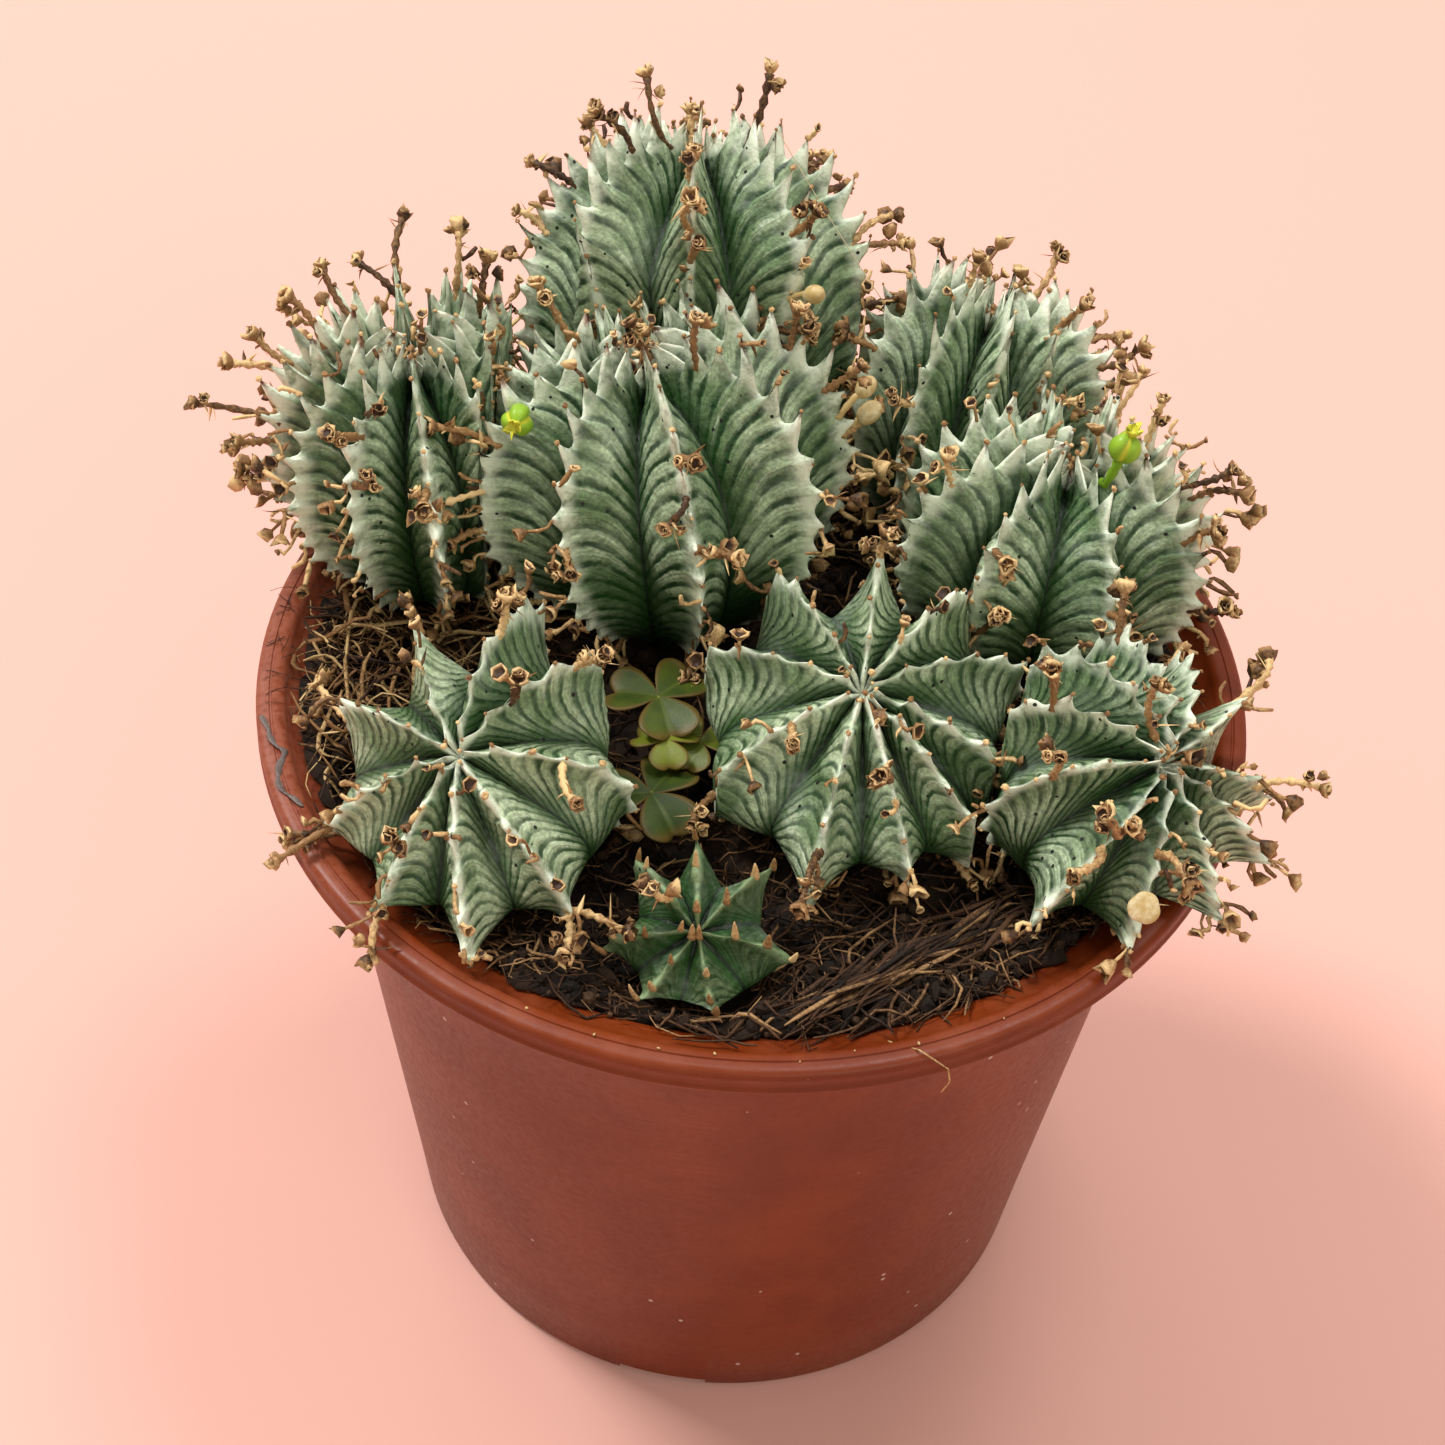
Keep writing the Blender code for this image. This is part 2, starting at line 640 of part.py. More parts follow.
def rod(path, radii, sides):
    """A closed rod along a path, made from a sphere whose rings are moved to the path's points."""
    mesh = bmesh.new()
    rings = len(path)
    bmesh.ops.create_uvsphere(mesh, u_segments=sides, v_segments=rings + 1, radius=1.0)
    first = (path[1] - path[0]).normalized()
    last = (path[-1] - path[-2]).normalized()
    side = first.orthogonal().normalized()
    for vert in mesh.verts:
        level = round((rings + 1) * math.acos(max(-1.0, min(1.0, -vert.co.z))) / math.pi)
        if level == 0:
            vert.co = path[0] - first * 0.3 * radii[0]
            continue
        if level == rings + 1:
            vert.co = path[-1] + last * 0.5 * radii[-1]
            continue
        index = level - 1
        ahead = (path[min(index + 1, rings - 1)] - path[max(index - 1, 0)]).normalized()
        across = (side - ahead * side.dot(ahead)).normalized()
        other = ahead.cross(across)
        angle = math.atan2(vert.co.y, vert.co.x)
        vert.co = path[index] + (across * math.cos(angle) + other * math.sin(angle)) * radii[index]
    return mesh


def stalk_path(stem, planes, stalk):
    """One dried stalk on a crest: the points of its middle line, from root to head."""
    rib_direction, rise, side, lift, length = stalk
    ribs = sorted_ribs(stem)
    turn = [round(direction) for direction, _ in ribs].index(rib_direction)
    direction, radius, height = stem_point(stem, ribs, turn, 1.0, rise, 0.0)
    foot = placed_point(stem, planes, direction, radius, height)
    tilt = stem_frame(stem, height)[1]
    outward = tilt @ Vector((math.cos(direction), math.sin(direction), 0.0))
    upward = tilt @ Vector((0.0, 0.0, 1.0))
    side, lift = math.radians(side), math.radians(lift)
    level = outward * math.cos(side) + upward.cross(outward) * math.sin(side)
    heading = level * math.cos(lift) + upward * math.sin(lift)
    path = [foot - outward * STALK_ROOT]
    for along in (0.0, length - HEAD_LENGTH - NECK_LENGTH, length - HEAD_LENGTH, length):
        path.append(foot + heading * along - Vector((0.0, 0.0, STALK_SAG * along**2)))
    return path


def add_stalks(name, stem, cutters):
    """Places a stem's dried stalks as separate rods, to be joined to it."""
    planes = separating_planes(name)
    radii = [STALK_RADIUS * share for share in STALK_SHAPE]
    for index, stalk in enumerate(STALKS[name]):
        path = stalk_path(stem, planes, stalk)
        add_object(f"{name}_stalk_{index}", rod(path, radii, STALK_SIDES), cutters)


def leaflet(centre, angle, length, lift):
    """One heart-shaped blade that points away from the leaf's centre."""
    mesh = bmesh.new()
    bmesh.ops.create_cone(
        mesh, cap_ends=True, segments=LEAFLET_SIDES, radius1=1.0, radius2=1.0,
        depth=LEAFLET_THICKNESS,
    )
    turn = Matrix.Rotation(angle, 3, "Z") @ Matrix.Rotation(-lift, 3, "Y")
    for vert in mesh.verts:
        around = math.atan2(vert.co.y, vert.co.x)
        reach = 1.0 - LEAFLET_NOTCH * max(0.0, math.cos(around)) ** 6
        flat = Vector((
            0.5 * length * (1.0 + reach * math.cos(around)),
            LEAFLET_WIDTH * length * math.sin(around) * (0.8 + 0.2 * math.cos(around)),
            vert.co.z,
        ))
        vert.co = centre + turn @ flat
    return mesh


def build_weed(collection, cutters, material):
    """A small weed: a short root, bent petioles and three heart-shaped blades on each."""
    base = Vector((*WEED_BASE, SOIL_LEVEL))
    root = [base + Vector((0, 0, height)) for height in (-WEED_ROOT, -WEED_ROOT + 0.6, 0.8, 2.4)]
    crown = rod(root, (WEED_CROWN - 0.5, WEED_CROWN, WEED_CROWN, WEED_CROWN - 0.7), CROWN_SIDES)
    weed = add_object("weed", crown, collection, material)
    for index, (sideways, forward, height, length) in enumerate(WEED_LEAVES):
        tip = base + Vector((sideways, forward, height))
        bend = base + Vector((0.3 * sideways, 0.45 * forward, 0.6 * height))
        path = [base + Vector((0, 0, 1.0)), bend, tip]
        petiole = rod(path, (PETIOLE_RADIUS * 1.3, PETIOLE_RADIUS, PETIOLE_RADIUS), PETIOLE_SIDES)
        add_object(f"petiole_{index}", petiole, cutters)
        for blade in range(LEAFLETS):
            angle = math.tau * blade / LEAFLETS + 1.1 + 1.7 * index
            centre = tip - Vector((0, 0, 0.5))
            heart = leaflet(centre, angle, length, LEAFLET_LIFT)
            add_object(f"blade_{index}_{blade}", heart, cutters)
    apply_boolean(weed, "UNION", cutters)


def main():
    """Builds the pot, the soil, the stems and the weed."""
    clear_scene()
    parts = new_collection("potted_milk_barrel")
    cutters = new_collection("cutters", hidden=True)
    build_pot(parts, cutters, new_material("pot", (0.35, 0.10, 0.05), 0.45))
    build_soil(parts, cutters, new_material("soil", (0.05, 0.03, 0.02), 0.95))
    for name, stem in STEMS.items():
        body = build_stem(name, stem, parts, new_material(name, (0.20, 0.33, 0.22), 0.6))
        add_stalks(name, stem, cutters)
        apply_boolean(body, "UNION", cutters)
    build_weed(parts, cutters, new_material("weed", (0.16, 0.20, 0.05), 0.6))


main()
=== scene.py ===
"""The potted milk barrel clump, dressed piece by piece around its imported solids.

Sizes are in millimetres, as in the part's source, and every finished mesh is scaled to metres.
"""

import json
import logging
import math
from collections.abc import Sequence
from dataclasses import dataclass, field
from enum import Enum

import bmesh
import bpy
import numpy as np
from mathutils import Matrix, Vector

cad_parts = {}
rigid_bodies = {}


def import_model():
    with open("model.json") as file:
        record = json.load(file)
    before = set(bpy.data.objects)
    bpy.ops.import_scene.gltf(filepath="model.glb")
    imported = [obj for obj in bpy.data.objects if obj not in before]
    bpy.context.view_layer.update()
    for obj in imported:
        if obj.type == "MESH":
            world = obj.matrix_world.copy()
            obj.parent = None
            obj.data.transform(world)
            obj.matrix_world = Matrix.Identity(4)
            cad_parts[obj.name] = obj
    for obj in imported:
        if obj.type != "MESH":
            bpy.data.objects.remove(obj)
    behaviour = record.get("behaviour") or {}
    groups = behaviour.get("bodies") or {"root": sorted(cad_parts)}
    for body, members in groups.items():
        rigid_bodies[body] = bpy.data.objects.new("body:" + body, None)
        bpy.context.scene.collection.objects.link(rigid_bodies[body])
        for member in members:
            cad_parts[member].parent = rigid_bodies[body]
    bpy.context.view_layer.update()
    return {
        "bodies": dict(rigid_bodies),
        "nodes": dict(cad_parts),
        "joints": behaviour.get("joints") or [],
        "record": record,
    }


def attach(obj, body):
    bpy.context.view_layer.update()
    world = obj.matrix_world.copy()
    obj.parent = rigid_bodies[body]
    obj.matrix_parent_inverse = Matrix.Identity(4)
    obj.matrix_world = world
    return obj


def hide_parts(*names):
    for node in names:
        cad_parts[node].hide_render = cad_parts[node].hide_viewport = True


log = logging.getLogger("milk_barrel")

MM = 0.001
GAP = 0.3

# The pot and its filling, as in the solids
RIM_RADIUS = 100.0
POT_HEIGHT = 159.04
COLLAR_BOTTOM = 152.9
BODY_TOP_RADIUS = 88.4
BASE_RADIUS = 72.5
WALL = 1.8
FLOOR_TOP = 5.4
SOIL_LEVEL = 148.0

# How low a stem may hang over the soil and the rim
RIB_CLEARANCE = 2.4
OVERHANG_START = 76.0
OVERHANG_SLOPE = 0.65
OVERHANG_LEVEL = 163.0
LIFT_SOFTNESS = 1.6

Colour = tuple[float, float, float]
Place = tuple[float, float, float]
Socket = bpy.types.NodeSocket
UP = (0.0, 0.0, 1.0)
# A direction that no path runs along, for the frames of tubes and copies
ASKEW = (0.31, 0.52, 0.80)

# Crest and valley of a rib, as (share of the radius, share of the length) from foot to tip
BARREL_CREST = (
    (0.36, 0.03), (0.62, 0.14), (0.86, 0.32), (0.99, 0.54), (0.98, 0.73),
    (0.84, 0.90), (0.59, 1.01), (0.30, 1.02), (0.11, 0.95), (0.0, 0.91),
)
BARREL_VALLEY = (
    (0.32, 0.03), (0.50, 0.14), (0.61, 0.32), (0.66, 0.53), (0.60, 0.70),
    (0.46, 0.82), (0.27, 0.89), (0.11, 0.90), (0.03, 0.90), (0.0, 0.90),
)
DOME_CREST = (
    (0.36, 0.03), (0.62, 0.14), (0.87, 0.31), (0.99, 0.50), (0.96, 0.67),
    (0.80, 0.82), (0.57, 0.92), (0.30, 0.97), (0.10, 0.96), (0.0, 0.94),
)
DOME_VALLEY = (
    (0.32, 0.03), (0.50, 0.14), (0.62, 0.31), (0.67, 0.48), (0.62, 0.64),
    (0.47, 0.77), (0.29, 0.86), (0.12, 0.91), (0.03, 0.93), (0.0, 0.93),
)
STAR_CREST = (
    (0.36, 0.04), (0.56, 0.12), (0.80, 0.27), (0.96, 0.44), (1.00, 0.60),
    (0.89, 0.79), (0.65, 0.94), (0.36, 1.02), (0.12, 1.00), (0.0, 0.95),
)
STAR_VALLEY = (
    (0.35, 0.04), (0.52, 0.12), (0.68, 0.26), (0.74, 0.41), (0.72, 0.55),
    (0.60, 0.69), (0.40, 0.81), (0.19, 0.89), (0.06, 0.93), (0.0, 0.94),
)

# Planes that keep neighbours apart: (one, other, share of the way, tilt in degrees)
NEIGHBOURS = (
    ("stem_1", "stem_2", 0.46, 0.0),
    ("stem_1", "stem_3", 0.28, 0.0),
    ("stem_1", "stem_7", 0.50, 0.0),
    ("stem_2", "stem_3", 0.44, 8.0),
    ("stem_2", "stem_4", 0.58, 0.0),
    ("stem_3", "stem_4", 0.58, 0.0),
    ("stem_3", "stem_5", 0.53, 0.0),
    ("stem_3", "stem_6", 0.50, -14.0),
    ("stem_3", "stem_7", 0.53, 0.0),
    ("stem_4", "stem_5", 0.42, 10.0),
    ("stem_5", "stem_6", 0.46, -10.0),
    ("stem_5", "stem_9", 0.52, -10.0),
    ("stem_6", "stem_7", 0.52, 0.0),
    ("stem_6", "stem_8", 0.66, 0.0),
    ("stem_6", "stem_9", 0.56, 0.0),
    ("stem_7", "stem_8", 0.66, 0.0),
    ("stem_8", "stem_9", 0.40, 0.0),
    ("weed", "stem_3", 0.24, 0.0),
    ("weed", "stem_6", 0.26, 0.0),
    ("weed", "stem_7", 0.26, 0.0),
    ("weed", "stem_8", 0.34, 0.0),
)
WEED_BASE = (-18.0, -27.0)
WEED_MIDDLE_HEIGHT = 16.0
# The seeds of the first stem's dried flowers and of the loose litter
FLOWER_SEED = 100
LITTER_SEED = 71
# How far the ends of tubes bulge, as a share of their radius
END_BULGE = 0.4
# The cells of the table that lumpy noise is read from, along each axis
LUMP_CELLS = 32
# The grid that notes how low the stems hang: its cells, their width and its half width
GRID_CELLS = 110
GRID_CELL = 2.0
GRID_REACH = 110.0
OPEN_SKY = 400.0


class Growth(Enum):
    """How a stem's ribs run: an old barrel, the tall dome behind, or a young flat star."""

    BARREL = "barrel"
    DOME = "dome"
    STAR = "star"


# The crest and the valley of each kind of growth
PROFILES = {
    Growth.BARREL: (BARREL_CREST, BARREL_VALLEY),
    Growth.DOME: (DOME_CREST, DOME_VALLEY),
    Growth.STAR: (STAR_CREST, STAR_VALLEY),
}


def add_object(name: str, data: bpy.types.ID) -> bpy.types.Object:
    """Adds an object to the scene.

    Args:
        name: The object's name.
        data: Its mesh, light or camera.

    Returns:
        The object.
    """
    made = bpy.data.objects.new(name, data)
    bpy.context.scene.collection.objects.link(made)
    return made


def add_piece(name: str, mesh: bpy.types.Mesh, material: bpy.types.Material, slot: str,
              *nodes: str) -> None:
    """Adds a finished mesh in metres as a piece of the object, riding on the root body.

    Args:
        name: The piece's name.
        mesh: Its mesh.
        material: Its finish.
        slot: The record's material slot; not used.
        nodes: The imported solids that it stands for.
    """
    mesh.materials.clear()
    mesh.materials.append(material)
    piece = add_object(name, mesh)
    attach(piece, "root")
    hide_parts(*nodes)
    log.info("%s: %d faces", name, len(mesh.polygons))


def mesh_of(name: str, shape: bmesh.types.BMesh) -> bpy.types.Mesh:
    """Turns a bmesh into a mesh as it is.

    Args:
        name: The mesh's name.
        shape: The bmesh, which is freed.

    Returns:
        The mesh.
    """
    made = bpy.data.meshes.new(name)
    shape.to_mesh(made)
    shape.free()
    return made


def mesh_from(name: str, shape: bmesh.types.BMesh, smooth: bool = True) -> bpy.types.Mesh:
    """Turns a bmesh in millimetres into a mesh in metres, with its faces pointing outwards.

    Args:
        name: The mesh's name.
        shape: The bmesh, which is freed.
        smooth: Whether its faces are shaded smooth.

    Returns:
        The new mesh.
    """
    bmesh.ops.scale(shape, vec=(MM, MM, MM), verts=shape.verts)
    bmesh.ops.recalc_face_normals(shape, faces=shape.faces)
    for face in shape.faces:
        face.smooth = smooth
    return mesh_of(name, shape)


def points_of(mesh: bpy.types.Mesh) -> np.ndarray:
    """Reads where the points of a mesh are.

    Args:
        mesh: The mesh, in metres.

    Returns:
        One point in millimetres on each row.
    """
    flat = np.empty(3 * len(mesh.vertices))
    mesh.vertices.foreach_get("co", flat)
    return flat.reshape(-1, 3) / MM


def set_mark(mesh: bpy.types.Mesh, name: str, values: object) -> None:
    """Gives the points of a mesh a value that its finish reads.

    Args:
        mesh: The mesh.
        name: The value's name.
        values: The value of every point, or one for all of them.
    """
    mark = mesh.attributes.new(name, "FLOAT", "POINT")
    held = np.broadcast_to(values, len(mesh.vertices)).astype(np.float32)
    mark.data.foreach_set("value", held)


def set_points(mesh: bpy.types.Mesh, points: np.ndarray, smooth: bool = True) -> None:
    """Moves the points of a mesh.

    Args:
        mesh: The mesh, in metres.
        points: Where each point goes, in millimetres.
        smooth: Whether the faces are shaded smooth.
    """
    mesh.vertices.foreach_set("co", (points * MM).ravel())
    mesh.polygons.foreach_set("use_smooth", np.full(len(mesh.polygons), smooth))
    mesh.update()


def modified(holder: bpy.types.Object) -> bpy.types.Mesh:
    """Applies the modifiers of an object.

    Args:
        holder: The object.

    Returns:
        A new mesh, as the modifiers make it.
    """
    bpy.context.view_layer.update()
    graph = bpy.context.evaluated_depsgraph_get()
    return bpy.data.meshes.new_from_object(holder.evaluated_get(graph))


def spun(profile: Sequence[tuple[float, float]], steps: int) -> bmesh.types.BMesh:
    """Spins a (radius, height) profile that starts and ends on the vertical axis.

    Args:
        profile: The points, in millimetres.
        steps: How many flats go round.

    Returns:
        The closed shape.
    """
    shape = bmesh.new()
    points = [shape.verts.new((radius, 0.0, height)) for radius, height in profile]
    edges = [shape.edges.new(pair) for pair in zip(points, points[1:])]
    bmesh.ops.spin(
        shape, geom=points + edges, cent=(0, 0, 0), axis=UP,
        angle=math.tau, steps=steps, use_merge=True, use_duplicate=False,
    )
    bmesh.ops.remove_doubles(shape, verts=shape.verts, dist=0.01)
    return shape


def unit(vectors: np.ndarray) -> np.ndarray:
    """Vectors scaled to length 1, one on each row."""
    return vectors / np.maximum(np.linalg.norm(vectors, axis=-1, keepdims=True), 1e-9)


def copies(name: str, shape: bmesh.types.BMesh, count: int) -> bpy.types.Mesh:
    """Repeats a shape in one mesh, copy after copy.

    Args:
        name: The new mesh's name.
        shape: The shape to repeat, which is freed.
        count: How many copies the mesh holds.

    Returns:
        The mesh, with every copy in the same place.
    """
    single = mesh_of(name + "_one", shape)
    holder = add_object(name + "_one", single)
    repeat = holder.modifiers.new("copies", "ARRAY")
    repeat.count = count
    repeat.use_relative_offset = False
    made = modified(holder)
    made.name = name
    bpy.data.objects.remove(holder, do_unlink=True)
    bpy.data.meshes.remove(single)
    return made


def moved(mesh: bpy.types.Mesh, points: np.ndarray, shade: np.ndarray,
          smooth: bool = True) -> bpy.types.Mesh:
    """Moves the copies of a mesh to their points and gives each its own shade.

    Args:
        mesh: The mesh of copies.
        points: The points of each copy in millimetres, copy by copy.
        shade: A value from 0 to 1 for each copy or each point, which its finish reads.
        smooth: Whether the faces are shaded smooth.

    Returns:
        The same mesh.
    """
    value = np.broadcast_to(shade.reshape(len(points), -1), points.shape[:2])
    set_mark(mesh, "shade", value.ravel())
    set_points(mesh, points, smooth)
    return mesh


def ball(sides: int, rings: int) -> tuple[bmesh.types.BMesh, np.ndarray, np.ndarray]:
    """A sphere for shapes made of rings.

    Args:
        sides: How many points a ring has.
        rings: How many rings lie between the two poles.

    Returns:
        The shape, and the ring (0 and rings + 1 are the poles) and the angle of each point.
    """
    shape = bmesh.new()
    bmesh.ops.create_uvsphere(shape, u_segments=sides, v_segments=rings + 1, radius=1.0)
    points = np.array([vert.co for vert in shape.verts])
    share = np.arccos(np.clip(-points[:, 2], -1.0, 1.0)) / math.pi
    level = np.rint((rings + 1) * share).astype(int)
    return shape, level, np.arctan2(points[:, 1], points[:, 0])


def tubes(name: str, paths: np.ndarray, radii: np.ndarray, shade: np.ndarray, sides: int = 5,
          flat: float = 1.0) -> bpy.types.Mesh:
    """Makes many closed tubes, such as stalks and fibres, as one mesh.

    Args:
        name: The mesh's name.
        paths: The points of each tube's middle line.
        radii: The radius at each of those points.
        shade: A value from 0 to 1 for each tube.
        sides: How many sides a tube has.
        flat: Its thickness as a share of its width.

    Returns:
        The mesh.
    """
    count, rings = paths.shape[:2]
    shape, level, angle = ball(sides, rings)
    mesh = copies(name, shape, count)
    ahead = unit(np.gradient(paths, axis=1))
    side = np.cross(ahead[:, 0], ASKEW)[:, None]
    across = unit(side - ahead * np.sum(side * ahead, axis=2, keepdims=True))
    other = np.cross(ahead, across) * flat
    ring = np.clip(level - 1, 0, rings - 1)
    around = across[:, ring] * np.cos(angle)[:, None] + other[:, ring] * np.sin(angle)[:, None]
    points = paths[:, ring] + around * radii[:, ring, None]
    for pole, end, bulge in ((0, 0, -END_BULGE), (rings + 1, rings - 1, END_BULGE)):
        spot = level == pole
        points[:, spot] = (paths[:, end] + bulge * ahead[:, end] * radii[:, end, None])[:, None]
    return moved(mesh, points, shade)


def turned(local: np.ndarray, places: np.ndarray, headings: np.ndarray, sizes: np.ndarray,
           spins: np.ndarray) -> np.ndarray:
    """Places copies of a shape, each with its own +Z axis, size and spin.

    Args:
        local: The points of one copy, or of each of them.
        places: Where each copy goes.
        headings: Where the +Z axis of each copy points.
        sizes: How large each copy is.
        spins: How far each copy is turned about its own axis, in radians.

    Returns:
        The points of each copy.
    """
    ahead = unit(headings)
    across = unit(np.cross(ahead, ASKEW))
    other = np.cross(ahead, across)
    cos, sin = np.cos(spins)[:, None], np.sin(spins)[:, None]
    frame = np.stack((across * cos + other * sin, other * cos - across * sin, ahead), axis=1)
    local = np.broadcast_to(local, (len(places), *local.shape[-2:]))
    return places[:, None] + np.einsum("nvk,nkc->nvc", local, frame) * sizes[:, None, None]


def cups(name: str, places: np.ndarray, headings: np.ndarray, sizes: np.ndarray,
         rng: np.random.Generator, sides: int = 10) -> bpy.types.Mesh:
    """Makes many dried flower cups: hollow, with five curled lobes, darker inside as painted shade
    and lighter on the rim.

    Args:
        name: The mesh's name.
        places: The foot of each cup.
        headings: Where each cup opens to.
        sizes: The radius of each cup's rim.
        rng: Draws how each is turned, torn and shaded.
        sides: How many points a ring has.

    Returns:
        The mesh.
    """
    radius = np.array((0.0, 0.42, 0.92, 1.08, 0.96, 0.74, 0.0))
    height = np.array((-0.35, 0.0, 0.55, 1.05, 1.45, 0.95, 0.40))
    lobed = np.array((0.0, 0.0, 0.10, 0.20, 0.34, 0.25, 0.0))
    # Each cup is darker inside, painted shade, and lighter on its rim
    lighter_rim_shaded_core = np.array((-0.1, -0.1, -0.15, 0.05, 0.50, -0.45, -0.7))
    shape, level, angle = ball(sides, len(radius) - 2)
    mesh = copies(name, shape, len(places))
    wave = np.cos(5.0 * angle)[None, :] + rng.uniform(-1.2, 1.2, (len(places), len(angle)))
    reach = radius[level] * (1.0 + lobed[level] * wave * 0.9)
    lift = height[level] * rng.uniform(0.6, 1.3, (len(places), 1)) + lobed[level] * wave
    local = np.stack((reach * np.cos(angle), reach * np.sin(angle), lift), axis=2)
    local = local + rng.normal(0.0, 0.09, local.shape) * (level > 1)[None, :, None]
    spins = rng.uniform(0.0, math.tau, len(places))
    shade = rng.uniform(0.15, 0.85, (len(places), 1)) + lighter_rim_shaded_core[level]
    return moved(mesh, turned(local, places, headings, sizes, spins), shade)


def grains(name: str, places: np.ndarray, sizes: np.ndarray, shade: np.ndarray,
           rng: np.random.Generator, squash: tuple[float, float] = (0.5, 1.0)) -> bpy.types.Mesh:
    """Makes many rough lumps, such as crumbs of peat and grit.

    Args:
        name: The mesh's name.
        places: The middle of each lump.
        sizes: How large each is.
        shade: A value from 0 to 1 for each.
        rng: Draws their shapes.
        squash: The least and the greatest stretch along each axis.

    Returns:
        The mesh.
    """
    shape = bmesh.new()
    bmesh.ops.create_icosphere(shape, subdivisions=1, radius=1.0)
    one = np.array([vert.co for vert in shape.verts])
    mesh = copies(name, shape, len(places))
    local = one[None] * rng.uniform(*squash, (len(places), 1, 3))
    local = local * rng.uniform(0.75, 1.15, (len(places), len(one), 1))
    headings = rng.normal(size=(len(places), 3))
    spins = rng.uniform(0.0, math.tau, len(places))
    return moved(mesh, turned(local, places, headings, sizes, spins), shade, smooth=False)


def body_radius(height: float) -> float:
    """The pot's outer radius below its collar."""
    return BASE_RADIUS + (BODY_TOP_RADIUS - BASE_RADIUS) * height / COLLAR_BOTTOM


def smooth_curve(points: Sequence[tuple[float, float]], shares: np.ndarray) -> np.ndarray:
    """Reads a smooth curve through evenly spaced pairs at many shares from 0 to 1.

    Args:
        points: The pairs.
        shares: Where to read the curve.

    Returns:
        One row of two values for each share.
    """
    pairs = np.array(points)
    last = len(points) - 1
    place = np.clip(shares, 0.0, 1.0) * last
    index = np.minimum(place.astype(int), last - 1)
    part = (place - index)[..., None]
    before = pairs[np.maximum(index - 1, 0)]
    start = pairs[index]
    end = pairs[index + 1]
    after = pairs[np.minimum(index + 2, last)]
    return 0.5 * (
        2 * start + (end - before) * part + (2 * before - 5 * start + 4 * end - after) * part**2
        + (3 * start - before - 3 * end + after) * part**3
    )


def smooth_line(points: np.ndarray, steps: int) -> np.ndarray:
    """A smooth line through a few points, with so many steps between each two."""
    shares = np.linspace(0.0, 1.0, (len(points) - 1) * steps + 1)
    flat = smooth_curve(points[:, :2], shares)
    return np.column_stack((flat, np.interp(shares, np.linspace(0.0, 1.0, len(points)),
                                            points[:, 2])))


def skin_point(name: str, near: Place) -> np.ndarray:
    """The point of a stem's skin that is nearest to a place, in millimetres."""
    points = points_of(bpy.data.objects[name + "_flesh"].data)
    return points[np.argmin(np.linalg.norm(points - near, axis=1))]


def along_path(count: int, start: float = 0.0) -> np.ndarray:
    """Even steps over a length of 1, for the points of many paths at once."""
    return np.linspace(start, start + 1.0, count)[None, :, None]


def lumps(points: np.ndarray, size: float, seed: int) -> np.ndarray:
    """Reads smooth noise from -1 to 1 at many points.

    Args:
        points: One point in millimetres on each row.
        size: How wide a lump is, in millimetres.
        seed: Picks the pattern.

    Returns:
        One value for each point.
    """
    table = np.random.default_rng(seed).uniform(-1.0, 1.0, (LUMP_CELLS,) * 3)
    place = points / size
    cell = np.floor(place).astype(int)
    part = place - cell
    part = part * part * (3.0 - 2.0 * part)
    total = np.zeros(len(points))
    for corner in np.ndindex(2, 2, 2):
        weight = np.prod(np.where(corner, part, 1.0 - part), axis=1)
        x, y, z = ((cell + corner) % LUMP_CELLS).T
        total += weight * table[x, y, z]
    return total


